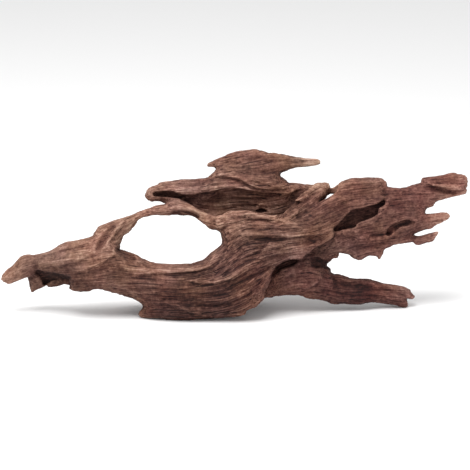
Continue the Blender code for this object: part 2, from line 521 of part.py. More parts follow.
def rod(path, depth_share, x, h, d):
    """The distance from a tapered round that follows path; depth_share is its depth for its
    width."""
    best = None
    for (ax, ah, ad, ar), (bx, bh, bd, br) in zip(path, path[1:]):
        ex, eh, ed = bx - ax, bh - ah, (bd - ad) / depth_share
        px, ph, pd = x - ax, h - ah, (d - ad) / depth_share
        t = np.clip((px * ex + ph * eh + pd * ed) / (ex * ex + eh * eh + ed * ed), 0, 1)
        away = np.sqrt((px - t * ex) ** 2 + (ph - t * eh) ** 2 + (pd - t * ed) ** 2)
        away = away - (ar + (br - ar) * t)
        best = away if best is None else np.minimum(best, away)
    return best


def near_path(path, depth_share, axes, margin):
    """The slices of the axes that come within margin of a path."""
    p = np.array(path, float)
    reach = p[:, 3] * np.array([[1.0], [1.0], [depth_share]])
    slices = []
    for k in range(3):
        low = (p[:, k] - reach[k]).min() - margin
        high = (p[:, k] + reach[k]).max() + margin
        slices.append(slice(int(np.searchsorted(axes[k], low)),
                            int(np.searchsorted(axes[k], high)) + 1))
    return tuple(slices)


def view_axes(cell):
    return [np.arange(low, high, cell) for low, high in ((-240, 240), (-6, 180), (-60, 80))]


def sheet_field(name, axes):
    """The field of one sheet."""
    outline, spots = SHEETS[name]
    cell = axes[0][1] - axes[0][0]
    x, h = np.meshgrid(axes[0], axes[1], indexing="ij")
    inside = depth_inside(outline, x, h)
    if name == "front":
        inside = np.minimum(inside, -depth_inside(HOLE, x, h))
    film = swell(inside, cell)
    fullness = through_spots([spot[:2] + spot[3:] for spot in spots], x, h)
    half = np.where(film > 0, film * fullness**2, film)
    slope_x, slope_h = np.gradient(half, cell)
    steep = (slope_x**2 + slope_h**2).astype(np.float32)[..., None]
    middle = through_spots([spot[:3] for spot in spots], x, h)
    away = axes[2].astype(np.float32) - middle.astype(np.float32)[..., None]
    return (away**2 - half.astype(np.float32)[..., None]) / np.sqrt(4 * away**2 + steep + 1.0)


def add_limbs(field, axes, limbs):
    """Joins each limb where it runs."""
    for depth_share, path in limbs.values():
        where = near_path(path, depth_share, axes, JOIN_FILLET)
        x, h, d = np.meshgrid(*[a[s] for a, s in zip(axes, where)], indexing="ij", sparse=True)
        field[where] = soft_union(field[where], rod(path, depth_share, x, h, d), JOIN_FILLET)


def front_face(field, axes):
    """How deep the first surface lies behind each (x, h), and the far end where there is none."""
    solid = field < 0
    first = solid.argmax(2)
    i, j = np.indices(first.shape)
    here = field[i, j, first]
    before = field[i, j, np.maximum(first - 1, 0)]
    step = axes[2][1] - axes[2][0]
    face = axes[2][first] - step * here / np.minimum(here - before, -1e-6)
    return np.where(solid.any(2), face, axes[2][-1])


def blurred(grid, reach):
    """The grid smoothed by a bell curve of that reach, in cells, along each axis."""
    for axis in range(grid.ndim):
        turns = np.fft.rfftfreq(grid.shape[axis])
        bell = np.exp(-0.5 * (2 * math.pi * turns * reach) ** 2).astype(np.float32)
        shape = [1] * grid.ndim
        shape[axis] = len(bell)
        waves = np.fft.rfft(grid, axis=axis) * bell.reshape(shape)
        grid = np.fft.irfft(waves, grid.shape[axis], axis=axis).astype(np.float32)
    return grid


def lie_of_face(field, axes):
    """How deep the front face lies at each (x, h), smoothed over its small forms."""
    face = front_face(field, axes)
    there = face < axes[2][-1]
    reach = 9.0 / (axes[0][1] - axes[0][0])
    share = np.maximum(blurred(there.astype(float), reach), 1e-3)
    return blurred(np.where(there, face, 0.0), reach) / share


def carve_pits(field, axes, pits):
    """Sinks every pit below the plane of the surface that it opens in."""
    x, h = np.meshgrid(axes[0], axes[1], indexing="ij")
    for depth, wall, outline in pits.values():
        face = front_face(field, axes)
        inside = depth_inside(outline, x, h)
        within = (inside > 0) & (face < axes[2][-1])
        sides = np.stack([np.ones(within.sum()), x[within], h[within]], 1)
        plane = np.linalg.lstsq(sides, face[within], rcond=None)[0]
        i, j = np.nonzero(inside > -4.0)
        floor = plane[0] + plane[1] * x[i, j] + plane[2] * h[i, j] + depth
        below = (axes[2][None, :] - floor[:, None]).astype(np.float32)
        cutter = -soft_union(inside[i, j, None], -below, wall)
        field[i, j] = soft_cut(field[i, j], cutter.astype(np.float32), PIT_FILLET)


def beside_stroke(stroke, x, h):
    """(away, fade): how far each (x, h) lies from a stroke, more than nothing on its left, and a
    share that falls off towards its two ends."""
    points = np.array(stroke, float)
    lengths = np.hypot(*(points[1:] - points[:-1]).T)
    near, place, side, start = np.full(x.shape, 1e9), np.zeros(x.shape), np.ones(x.shape), 0.0
    for (ax, ah), (bx, bh), length in zip(points, points[1:], lengths):
        ex, eh = bx - ax, bh - ah
        t = np.clip(((x - ax) * ex + (h - ah) * eh) / length**2, 0, 1)
        away = np.hypot(x - ax - t * ex, h - ah - t * eh)
        place = np.where(away < near, start + t * length, place)
        side = np.where(away < near, np.sign(ex * (h - ah) - eh * (x - ax)), side)
        near = np.minimum(near, away)
        start += length
    ends = np.clip(np.minimum(place, start - place) / (0.3 * start), 0, 1)
    return side * near, 0.1 + 0.9 * ends * (2 - ends)


def crease_relief(stroke, half_width, x, h):
    """A crease's share of its depth at each (x, h): a sharp line that fades at both ends."""
    away, fade = beside_stroke(stroke, x, h)
    return fade * np.exp(-((np.abs(away) / half_width) ** 1.5))


def ledge_relief(stroke, above, below, x, h):
    """A ledge's share of its height at each (x, h): proud on its left, cut in on its right."""
    away, fade = beside_stroke(stroke, x, h)
    proud = -0.45 * np.exp(-np.maximum(away, 0) / above)
    sunk = 0.75 * np.exp(np.minimum(away, 0) / below)
    turn = np.clip(0.5 + away / 1.6, 0, 1)
    return fade * (proud * turn + sunk * (1 - turn))


def room(field, cell):
    """How much of a cut each place can take: all of it where the wood is thick in depth."""
    deepest = field.copy()
    for k in range(1, round(1.15 * THICK / cell) + 1):
        np.minimum(deepest[:, :, k:], field[:, :, :-k], out=deepest[:, :, k:])
        np.minimum(deepest[:, :, :-k], field[:, :, k:], out=deepest[:, :, :-k])
    return np.clip(-deepest / THICK, 0.1, 1.0)


def press_creases(field, axes, creases, ledges):
    """Presses the drawn grooves in, raises the drawn ridges and steps the drawn ledges, on the
    low side in depth."""
    x, h = np.meshgrid(axes[0], axes[1], indexing="ij")
    relief = np.zeros(x.shape)
    for half_width, depth, stroke in creases.values():
        relief += depth * crease_relief(stroke, half_width, x, h)
    for height, above, below, stroke in ledges.values():
        relief += height * ledge_relief(stroke, above, below, x, h)
    relief = np.clip(relief, -PROUDEST, DEEPEST).astype(np.float32)
    face = front_face(field, axes).astype(np.float32)
    behind = axes[2].astype(np.float32)[None, None, :] - face[..., None]
    level = np.clip(2.3 * (1 - behind / CREASE_REACH), 0, 1)
    field += relief[..., None] * level * room(field, axes[0][1] - axes[0][0])


def cut_furrows(field, axes):
    """Furrows all of the surface along the grain."""
    x, h = np.meshgrid(axes[0], axes[1], indexing="ij")
    along, across = grain_frame(x, h)
    across = across + 2.5 * wave_noise(x / WANDER, h / WANDER, 0 * x, SEED + 9)
    level = through_spots(GRAIN_LEVELS, x, h, reach=15.0)
    lie = lie_of_face(field, axes)
    share = room(field, axes[0][1] - axes[0][0])
    i, j, k = np.nonzero(np.abs(field) < FURROW_REACH)
    field[i, j, k] += furrows(along[i, j], across[i, j], axes[2][k] - lie[i, j],
                              level[i, j] * share[i, j, k])


def wood_field(cell):
    """(axes, field): the view frame's axes, and a field that is negative inside the wood."""
    axes = view_axes(cell)
    field = sheet_field("back", axes)
    add_limbs(field, axes, BACK_LIMBS)
    carve_pits(field, axes, BACK_PITS)
    for name in ("front", "jaw", "arm", "limb"):
        field = soft_union(field, sheet_field(name, axes), JOIN_FILLET)
    add_limbs(field, axes, LIMBS)
    turned, rear_axes = field[:, :, ::-1], (axes[0], axes[1], -axes[2][::-1])
    carve_pits(field, axes, PITS)
    carve_pits(turned, rear_axes, REAR_PITS)
    press_creases(field, axes, CREASES, LEDGES)
    press_creases(turned, rear_axes, REAR_CREASES, REAR_LEDGES)
    cut_furrows(field, axes)
    return axes, field.astype(np.float32) - PLUMP


def block(grid, i, j, k):
    """The grid shifted by one or nothing along each axis, cut to the cells between places."""
    return grid[i:i - 1 or None, j:j - 1 or None, k:k - 1 or None]


def mend(field, step):
    """Fills the few places where two surfaces would touch along an edge or at a point."""
    for _ in range(30):
        solid = field < 0
        bad = np.zeros(field.shape, bool)
        for a, b in ((0, 1), (0, 2), (1, 2)):
            corner = [[slice(None)] * 3 for _ in range(4)]
            for n, (i, j) in enumerate(((0, 0), (0, 1), (1, 0), (1, 1))):
                corner[n][a] = slice(i, i - 1 if i == 0 else None)
                corner[n][b] = slice(j, j - 1 if j == 0 else None)
            q = [solid[tuple(c)] for c in corner]
            crossed = (q[0] & q[3] & ~q[1] & ~q[2]) | (q[1] & q[2] & ~q[0] & ~q[3])
            for c in corner:
                bad[tuple(c)] |= crossed
        counts = sum(block(solid, i, j, k).astype(np.uint8)
                     for i in (0, 1) for j in (0, 1) for k in (0, 1))
        for i, j, k in ((0, 0, 0), (0, 0, 1), (0, 1, 0), (1, 0, 0)):
            one, other = block(solid, i, j, k), block(solid, 1 - i, 1 - j, 1 - k)
            crossed = (one & other & (counts == 2)) | (~one & ~other & (counts == 6))
            block(bad, i, j, k)[...] |= crossed
            block(bad, 1 - i, 1 - j, 1 - k)[...] |= crossed
            block(bad, 1 - i, j, k)[...] |= crossed & (counts == 2)
            block(bad, i, 1 - j, k)[...] |= crossed & (counts == 2)
        bad &= ~solid
        if not bad.any():
            break
        field[bad] = -0.05 * step
    return field


def skin(field, axes):
    """(points, quads) of the surface where the field crosses zero, one point to a cell."""
    step = axes[0][1] - axes[0][0]
    solid = field < 0
    counts = sum(block(solid, i, j, k).astype(np.uint8)
                 for i in (0, 1) for j in (0, 1) for k in (0, 1))
    cells = np.nonzero((counts > 0) & (counts < 8))
    number = np.full(counts.shape, -1, np.int64)
    number[cells] = np.arange(len(cells[0]))
    corners = [(i, j, k) for i in (0, 1) for j in (0, 1) for k in (0, 1)]
    value = [field[cells[0] + i, cells[1] + j, cells[2] + k] for i, j, k in corners]
    place = np.zeros((len(cells[0]), 3))
    share = np.zeros(len(cells[0]))
    for m, low in enumerate(corners):
        for n, high in enumerate(corners):
            if sum(high) != sum(low) + 1 or any(b < a for a, b in zip(low, high)):
                continue
            crossed = (value[m] < 0) != (value[n] < 0)
            t = np.where(crossed, value[m] / np.where(crossed, value[m] - value[n], 1), 0)
            for axis in range(3):
                place[:, axis] += crossed * (low[axis] + t * (high[axis] - low[axis]))
            share += crossed
    place = place / share[:, None] + np.stack(cells, 1)
    points = np.array([a[0] for a in axes]) + place * step
    quads = []
    for axis in range(3):
        u, v = [n for n in range(3) if n != axis]
        here = [slice(1, -1)] * 3
        here[axis] = slice(0, -1)
        there = list(here)
        there[axis] = slice(1, None)
        first, second = solid[tuple(here)], solid[tuple(there)]
        where = np.nonzero(first != second)
        base = [w + s.start for w, s in zip(where, here)]
        around = []
        for du, dv in ((-1, -1), (0, -1), (0, 0), (-1, 0)):
            at = list(base)
            at[u], at[v] = base[u] + du, base[v] + dv
            around.append(number[tuple(at)])
        loop = np.stack(around, 1)
        outward = first[where] == (axis == 1)
        quads.append(np.where(outward[:, None], loop, loop[:, ::-1]))
    return points, np.concatenate(quads)


def to_world(points):
    """View frame points, in drawing units, as world points in metres."""
    x, h, d = points.T
    y = h * math.sin(TILT) + d * math.cos(TILT)
    z = h * math.cos(TILT) - d * math.sin(TILT)
    return np.stack([x - MIDDLE_X, y - MIDDLE_Y, z - FLOOR], 1) * UNIT


def mesh_of(name, points, faces):
    mesh = bpy.data.meshes.new(name)
    mesh.vertices.add(len(points))
    mesh.vertices.foreach_set("co", points.astype(np.float32).ravel())
    mesh.loops.add(faces.size)
    mesh.loops.foreach_set("vertex_index", faces.astype(np.int32).ravel())
    mesh.polygons.add(len(faces))
    mesh.polygons.foreach_set("loop_start", np.arange(0, faces.size, faces.shape[1],
                                                      dtype=np.int32))
    mesh.update(calc_edges=True)
    return mesh


def thinned(obj, triangles):
    """Collapses the object's edges where the surface is flattest, down to that many triangles."""
    modifier = obj.modifiers.new("thin", "DECIMATE")
    modifier.ratio = min(1.0, triangles / (2.0 * len(obj.data.polygons)))
    modifier.use_collapse_triangulate = True
    graph = bpy.context.evaluated_depsgraph_get()
    thin = bpy.data.meshes.new_from_object(obj.evaluated_get(graph))
    obj.modifiers.clear()
    old, obj.data = obj.data, thin
    bpy.data.meshes.remove(old)


def largest_shell(bm):
    """Deletes every loose scrap and sealed hollow, and keeps the largest shell."""
    left, shells = set(bm.verts), []
    while left:
        front = [left.pop()]
        shell = set(front)
        while front:
            vert = front.pop()
            for edge in vert.link_edges:
                other = edge.other_vert(vert)
                if other not in shell:
                    shell.add(other)
                    front.append(other)
        left -= shell
        shells.append(shell)
    shells.sort(key=len)
    for shell in shells[:-1]:
        bmesh.ops.delete(bm, geom=list(shell), context="VERTS")


def stand_flat(bm):
    """Cuts the wood off at the floor, so that it stands on small flat feet."""
    bmesh.ops.bisect_plane(bm, geom=bm.verts[:] + bm.edges[:] + bm.faces[:], dist=1e-6,
                           plane_co=(0, 0, 0), plane_no=(0, 0, 1), clear_inner=True)
    rim = [edge for edge in bm.edges if edge.is_boundary]
    bmesh.ops.holes_fill(bm, edges=rim)
    bmesh.ops.triangulate(bm, faces=[f for f in bm.faces if len(f.verts) > 3])


def wood_material():
    """Water worn hardwood: warm mid brown, quite dull."""
    material = bpy.data.materials.new("weathered driftwood")
    material.use_nodes = True
    shader = material.node_tree.nodes["Principled BSDF"]
    shader.inputs["Base Color"].default_value = (0.145, 0.075, 0.058, 1.0)
    shader.inputs["Roughness"].default_value = 0.82
    shader.inputs["Metallic"].default_value = 0.0
    return material


def driftwood():
    axes, field = wood_field(CELL)
    points, quads = skin(mend(field, CELL), axes)
    obj = bpy.data.objects.new("driftwood", mesh_of("driftwood", to_world(points), quads))
    bpy.context.scene.collection.objects.link(obj)
    thinned(obj, TRIANGLES)
    bm = bmesh.new()
    bm.from_mesh(obj.data)
    largest_shell(bm)
    stand_flat(bm)
    bm.to_mesh(obj.data)
    bm.free()
    obj.data.materials.append(wood_material())
    return obj


def main():
    for old in list(bpy.data.objects):
        bpy.data.objects.remove(old)
    driftwood()


main()
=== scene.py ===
"""The looks of a long piece of weathered driftwood, holed and furrowed by water.

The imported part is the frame. One finely skinned piece stands for its solid: the same sheets,
limbs, pits, creases and ledges, with furrows of every width along the grain. Every place is
(x, h) or (x, h, d) in drawing units of a millimetre: x to the right of the middle, h up the view
plane and d behind it. The view plane leans back by TILT when the wood stands on its floor.
"""

import math

import bmesh
import bpy
import numpy as np
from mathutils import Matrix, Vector


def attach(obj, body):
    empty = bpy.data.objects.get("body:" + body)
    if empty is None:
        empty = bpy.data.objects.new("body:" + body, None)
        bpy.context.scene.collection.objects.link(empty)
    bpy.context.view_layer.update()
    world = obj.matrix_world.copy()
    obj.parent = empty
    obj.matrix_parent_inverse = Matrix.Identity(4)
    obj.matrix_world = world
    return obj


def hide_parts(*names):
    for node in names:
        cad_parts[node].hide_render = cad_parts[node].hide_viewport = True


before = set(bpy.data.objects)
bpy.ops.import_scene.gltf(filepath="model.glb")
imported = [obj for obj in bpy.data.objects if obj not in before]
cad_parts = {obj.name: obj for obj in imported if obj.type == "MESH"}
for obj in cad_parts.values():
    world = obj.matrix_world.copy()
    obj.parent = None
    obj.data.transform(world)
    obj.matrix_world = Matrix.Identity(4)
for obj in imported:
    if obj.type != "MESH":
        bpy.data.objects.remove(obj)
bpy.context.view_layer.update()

# The frame of the drawing.
LENGTH = 0.467  # metres, from the tip of the beak to the end of the right arm
DRAWN_LENGTH = 467.0  # the same length in drawing units
UNIT = LENGTH / DRAWN_LENGTH
TILT = math.radians(15.0)
FLOOR = 3.6  # the height of the floor under the view frame's origin, in drawing units
MIDDLE_X = -0.3  # what is taken off x and y so that the origin lies under the middle of the box
MIDDLE_Y = 28.5
PLUMP = 0.4  # what the furrows take off the outline and this gives back, in drawing units

# How finely the wood is skinned, and the box that it is worked out in, in drawing units.
CELL = 1.08
VIEW_BOX = ((-240, 240), (-6, 180), (-60, 80))
MENDS = 30  # how often at most the field is looked through for surfaces that touch
SLIVER = 0.05  # how far inside the wood a mended place then lies, in cells

# How the sheets are shaped and how the forms meet.
RIM = 2.0  # how far in from its outline a sheet is thinned to half of its film
OUTER_FALL = 8.0  # how steeply a sheet's field ends outside its outline
JOIN_FILLET = 7.0
PIT_FILLET = 2.5
PIT_MARGIN = 4.0  # how far outside its outline a pit still shapes the wood

# The eight corners of a cell.
CORNERS = [(i, j, k) for i in (0, 1) for j in (0, 1) for k in (0, 1)]

# When a sum is solved closely enough, and after how many rounds it stops anyway.
CLOSE = 1e-10
FILM_ROUNDS = 600
GRAIN_ROUNDS = 900

# Furrows along the grain: (spacing across, length along, depth, width), in drawing units. The
# width is how much of a wave the cut takes.
FURROWS = ((12.0, 150.0, 1.3, 0.26), (5.6, 95.0, 1.0, 0.38), (3.0, 70.0, 0.9, 0.5))
FURROW_EDGE = 1.3  # how square the sides of a furrow are
RAISED = 0.25  # the share of a furrow's depth that the wood beside it is raised
PATCH = 30.0  # how wide the stretches are where the furrows run deeper or shallower
PATCH_SWING = 0.6  # how much deeper or shallower they run there
WANDER = 45.0  # how far apart the fibres' bends are
BEND = 2.5  # how far a bend takes them aside
FURROW_REACH = 5.5  # how far from the surface the furrows are cut
LEVEL_REACH = 15.0  # how softly the strength of the grain changes
FIRM = 12.0  # how firmly the grain's lines keep to the fibres' way
STROKE_REACH = 6.0  # how near a stroke of GRAIN the fibres follow it alone
LIE_REACH = 9.0  # how wide a form is before the grain bends round it

# The seeds of the noise: one is added for each set of furrows.
SEED = 11
BEND_SEED = SEED + 9
PATCH_SEED = SEED + 20

# How far behind the front face the drawn grooves and ridges reach, how steeply they end there,
# and how deep and how proud they may be where several meet.
CREASE_REACH = 14.0
CREASE_FADE = 2.3
DEEPEST = 4.5
PROUDEST = 3.5

# The shape of a drawn stroke's relief.
CREASE_EDGE = 1.5  # how square the sides of a crease are
PROUD_SHARE = 0.45  # the share of a ledge's height that stands proud
SUNK_SHARE = 0.75  # the share that is cut in
STEP_WIDTH = 1.6  # how wide the step between them is
END_SHARE = 0.3  # the share of a stroke's length that fades at each end
END_LEVEL = 0.1  # what is left at the very end

# A cut goes its full depth where the wood is this thick behind it, and is shallower elsewhere.
THICK = 7.0
THICK_REACH = 1.15 * THICK  # how far the thickness is looked for
LEAST_CUT = 0.1  # the share of a cut that the thinnest wood still takes

# The big hole that the arch crosses.
HOLE = (
    (-115, 72), (-114, 78), (-111, 85), (-105.5, 89), (-100, 96), (-95, 102), (-85, 105),
    (-74, 106), (-55, 105.5), (-46, 105), (-37, 101), (-30, 96), (-24, 92), (-15.5, 89.5),
    (-13, 78.5), (-16, 74), (-24, 68), (-30, 62.5), (-39, 59), (-49, 57), (-72, 57),
    (-83, 58.5), (-92, 62.5), (-101, 67), (-112, 71),
)

# The front sheet: beak, arch, belly, furrowed column, and the near side of the right arm.
FRONT = (
    (-234, 41), (-234, 44), (-230, 50), (-223, 55), (-217, 62), (-210, 66.5), (-200, 66.5),
    (-187, 69.5), (-178, 74.5), (-169.5, 78.5), (-156, 81.5), (-143, 84.5), (-139.5, 89.5),
    (-135, 95), (-127, 98), (-119, 101), (-108, 104.5), (-96.5, 109), (-85, 113), (-77, 116),
    (-69, 117.5), (-65, 120.5), (-58.5, 121.5), (-51.5, 119.5), (-44, 116), (-37, 112),
    (-29, 108.5), (-21, 105), (-14, 105), (-4, 107.5), (2, 109.5), (13, 109.5), (23.5, 107),
    (35, 105.5), (48, 102.5), (61.5, 102.5), (72, 110), (84, 118), (90, 121.5), (95, 124),
    (100, 127.5), (102.5, 132), (104, 136), (113, 141), (124.5, 142), (143, 142), (150.5, 138.5),
    (152, 133), (166, 130), (160, 122), (149, 120.5), (143, 119), (135.5, 115.5), (127, 112),
    (119.5, 112.5), (114.5, 108), (105.5, 99), (99, 93.5), (98.5, 85), (93, 80.5), (82, 75),
    (75, 69.5), (69.5, 65.5), (64, 61.5), (52, 60.5), (43, 56.5), (39, 51), (37, 45), (34, 38),
    (29.5, 30), (28.5, 23), (22, 15.5), (12, 10.5), (9, 6.5), (-2, 4.5), (-18, 3), (-29, 3),
    (-40, 1.5), (-51, 0.5), (-64, 0), (-72.5, 2), (-83, 2.5), (-94, 4), (-96.5, 7), (-95, 10.5),
    (-91.5, 14.5), (-98.5, 21), (-105, 25.5), (-115, 27), (-119, 29), (-127, 30.5), (-139, 32.5),
    (-145.5, 30), (-152, 29.5), (-163, 30.5), (-164, 37), (-167, 43), (-172, 44.5), (-182, 46.5),
    (-188.5, 47), (-193.5, 48), (-198, 50.5), (-203.5, 46), (-210, 43), (-217.5, 40), (-226.5, 37),
)

# The jagged jaw, set back under the beak.
JAW = (
    (-207.5, 42), (-206.5, 36), (-204.5, 28), (-199.5, 30.5), (-193.5, 33), (-188.5, 35.5),
    (-187.5, 33.5), (-177, 34.5), (-170.5, 36.5), (-166, 35.5), (-166.5, 32), (-163, 30.5),
    (-152, 29.5), (-145, 37), (-150, 51), (-175, 59), (-195, 59), (-207, 51),
)

# The right arm: its broad end, its two prongs and the torn flaps along its underside.
ARM = (
    (104, 136), (113, 141), (124.5, 142), (143, 142), (150.5, 138.5), (152, 133.5), (155.5, 132),
    (169, 132), (178, 136), (187, 138.5), (187, 142.5), (189.5, 144), (198.5, 145), (208.5, 146.5),
    (217.5, 148.5), (224.5, 147.5), (232.5, 145), (233.5, 135), (232, 133), (233, 129.5),
    (230, 127), (220, 124.5), (209.5, 122), (202, 119.5), (198.5, 114.5), (192.5, 112.5),
    (190.5, 109), (192, 107), (200.5, 107.5), (209.5, 108.5), (214.5, 107.5), (216, 104.5),
    (211, 100.5), (202, 96), (197, 92), (189, 91), (179, 86.5), (184.5, 85.5), (193, 87.5),
    (203.5, 89.5), (202, 84), (198.5, 79.5), (191.5, 77.5), (185, 75.5), (180.5, 76.5),
    (178, 78.5), (169, 77.5), (159, 76), (153, 73), (149.5, 70.5), (148.5, 66.5), (144.5, 61.5),
    (142, 64.5), (134, 65), (127.5, 61.5), (123, 60.5), (118, 63.5), (114, 66), (110.5, 67),
    (104.5, 68), (93, 65), (80, 60), (65, 60), (52, 72), (55, 95), (74, 105), (90, 112),
    (101, 124),
)

# The lower limb with its stub and its forked end.
LIMB = (
    (90, 71), (98, 68.5), (104.5, 68), (103.5, 63), (99.5, 62.5), (95.5, 59), (92, 55.5),
    (95.5, 53), (98, 47.5), (107, 46), (118.5, 42), (134.5, 42), (139, 40), (150.5, 37),
    (163, 35.5), (173.5, 33), (179, 27.5), (182, 23), (179, 21), (174, 21.5), (174, 18.5),
    (175.5, 15.5), (171, 12), (163, 14.5), (150.5, 16.5), (138, 18), (125, 15.5), (109, 16.5),
    (100, 16), (93, 18.5), (82.5, 21.5), (74.5, 22), (61, 26), (43.5, 24.5), (29, 23), (13, 25),
    (10, 51), (27, 71), (65, 77),
)

# The back sheet: the prong on the left, the fin above it and the thin bridge on the right.
BACK = (
    (-90.5, 124.5), (-88.5, 129.5), (-86, 133), (-79, 136), (-73.5, 139), (-60.5, 141),
    (-42.5, 142), (-29, 143.5), (-24.5, 146.5), (-19.5, 152.5), (-22, 154.5), (-28, 155),
    (-27.5, 158), (-24, 159.5), (-12.5, 165), (-3.5, 169), (5, 171), (11.5, 171.5), (18, 173),
    (23, 172.5), (29.5, 170), (39.5, 168.5), (51, 167), (60.5, 165), (68, 164), (74.5, 163.5),
    (82.5, 163), (86.5, 160), (85, 157), (77, 155.5), (68.5, 154.5), (60.5, 153.5), (52, 151),
    (47, 149), (46, 146), (48, 143.5), (52, 141), (54.5, 138.5), (64.5, 137.5), (73.5, 136),
    (79.5, 135.5), (86, 134), (92, 133), (98, 133.5), (104, 136), (102, 128), (95, 128.5),
    (88.5, 128), (89.5, 124), (84, 118), (77, 112), (65, 99), (35, 89), (5, 88), (-9, 95),
    (-21, 101), (-35, 107), (-47, 111), (-60, 114), (-69.5, 117.5), (-72.5, 119.5), (-78, 120.5),
    (-86, 120.5), (-89.5, 123),
)

# Each sheet: its outline, and (x, h, d, fullness) spots. The middle of the sheet passes near
# each d, and it swells by the fullness there.
SHEETS = {
    "back": (BACK, (
        (-80, 128, 8, 0.8), (-20, 130, 18, 0.6), (20, 160, 28, 0.5), (80, 160, 34, 0.9),
        (30, 120, 26, 0.6), (70, 128, 18, 0.7), (95, 131, 12, 1.0),
    )),
    "front": (FRONT, (
        (-230, 46, 6, 0.8), (-195, 58, -2, 0.8), (-150, 60, -8, 0.85), (-119, 95, -8, 1.0),
        (-90, 109, -5, 1.4), (-60, 112, -2, 1.5), (-20, 100, -4, 1.0), (-95, 8, -2, 0.8),
        (-40, 30, -8, 0.75), (5, 75, -10, 0.75), (30, 40, -18, 0.65), (25, 100, -6, 0.75),
        (70, 100, -8, 0.6), (95, 88, -10, 0.5), (120, 125, 0, 0.38), (160, 128, 4, 0.4),
    )),
    "jaw": (JAW, ((-200, 35, 12, 0.8), (-160, 40, 8, 0.6))),
    "arm": (ARM, (
        (70, 80, 14, 0.6), (110, 75, 10, 0.5), (140, 80, 6, 0.5), (190, 100, 8, 0.5),
        (190, 82, 14, 0.6), (225, 135, 12, 0.7), (120, 120, 6, 0.5),
    )),
    "limb": (LIMB, (
        (20, 45, 16, 0.85), (60, 45, 14, 0.85), (110, 32, 24, 0.95), (172, 22, 34, 1.0),
    )),
}

# Limbs: a path of (x, h, d, radius), and how deep they are for their width. The back's limbs
# and pits are made before the front sheet is laid over them.
BACK_LIMBS = {
    "rear bridge": (1.0, ((30, 124, 34, 10), (60, 126, 26, 9), (88, 129, 16, 5))),
    "slot back": (1.0, ((-82, 127.5, 14, 5.5), (-60, 127, 17, 8), (-30, 125, 20, 8))),
}
LIMBS = {
    "knob": (0.9, ((48, 100, -4, 8), (60, 109, -3, 8.5), (73, 121, 0, 8.5), (84, 131, 5, 7),
                   (90, 135, 9, 4))),
    "rear belly": (1.0, ((-150, 46, 6, 9), (-95, 33, 22, 13), (-50, 32, 36, 15),
                         (5, 40, 42, 17), (45, 58, 36, 16), (70, 60, 26, 12))),
    "rear rib": (1.0, ((0, 42, 42, 15), (16, 78, 42, 16), (8, 112, 40, 13), (14, 145, 32, 8))),
    "rear arm": (1.0, ((16, 82, 40, 16), (70, 92, 34, 14), (125, 112, 22, 11),
                       (195, 130, 14, 7))),
    "heel": (1.0, ((-48, 32, 36, 14), (-66, 23, 45, 10.5))),
    "burl": (0.8, ((-13, 99, -13, 6.5), (-4, 102, -14, 8), (10, 102, -14, 7), (26, 101, -13, 4))),
}

# Pits in the back sheet and in the front: (how deep, how far the wall slopes in, outline).
BACK_PITS = {
    "prong slot": (8, 2.5, ((-82, 127), (-79, 129.5), (-66, 130), (-55, 127.5), (-43, 126),
        (-35, 128), (-16, 130), (-10, 126), (-20, 116), (-33, 112), (-44, 115), (-51, 119),
        (-60, 122), (-70, 124), (-80, 125))),
    "trough": (11, 13, ((-40, 112), (-30, 122), (-19, 130), (-9, 133), (3, 133), (15, 130.5),
        (30, 128), (45, 127), (55, 129), (61, 129), (64, 125), (62, 116), (55, 104), (46, 99),
        (35, 98), (15, 98), (-7, 98), (-25, 100))),
    "trough pocket": (3.5, 5, ((53, 122), (62, 131), (73, 133), (77, 131), (70, 125), (61, 119))),
    "trough hole": (4.5, 1.6, ((21.5, 110.2), (24, 111.8), (28, 112.2), (31.5, 111.4),
        (32.8, 110), (27.5, 109.4))),
}
PITS = {
    "beak hollow": (6, 4.5, ((-199, 50), (-190, 50), (-178, 48), (-166, 45), (-164, 43),
        (-172, 41), (-177, 42.5), (-183, 40.5), (-188, 37.5), (-192, 36), (-193.5, 40),
        (-196, 45))),
    "beak diagonal": (3.2, 6, ((-122, 96), (-118, 94.5), (-125, 83), (-132, 71), (-138, 71),
        (-137, 78), (-131, 88))),
    "hole corner": (5, 2.5, ((-116, 73), (-109, 70), (-99, 64), (-101, 60), (-110, 63),
        (-117, 69))),
    "knob pocket": (3.5, 5, ((42, 104), (47, 112), (57, 118.5), (66, 119), (63, 113), (56, 107),
        (49, 102))),
    "arch underside": (5, 4, ((-64, 107), (-60, 110), (-50, 110.5), (-42, 108.5), (-35, 104),
        (-40, 102), (-50, 103), (-60, 104))),
    "window": (11, 3, ((98.5, 92.5), (106, 100.5), (116, 110.5), (125, 112.5), (133, 115),
        (142.5, 117.5), (149, 121.5), (149.5, 116.5), (144, 112.5), (143, 107.5), (136, 103),
        (123, 98), (119.5, 93.5), (109, 91.5), (100, 90))),
    "crescent": (4.6, 3, ((152.5, 90.5), (157, 95), (163, 98), (171, 100.2), (179.5, 98.5),
        (173, 96), (165, 94), (158, 89), (153.3, 86))),
    "lip recess": (6, 4, ((35, 43), (38, 51), (44, 57), (54, 61), (63, 61), (60, 57), (55, 55),
        (48, 52), (41, 46))),
    "stub hole": (5, 3, ((75, 62), (82, 64), (88, 61), (96, 60), (97, 55), (91, 52), (87, 54),
        (80, 53), (76, 57))),
}

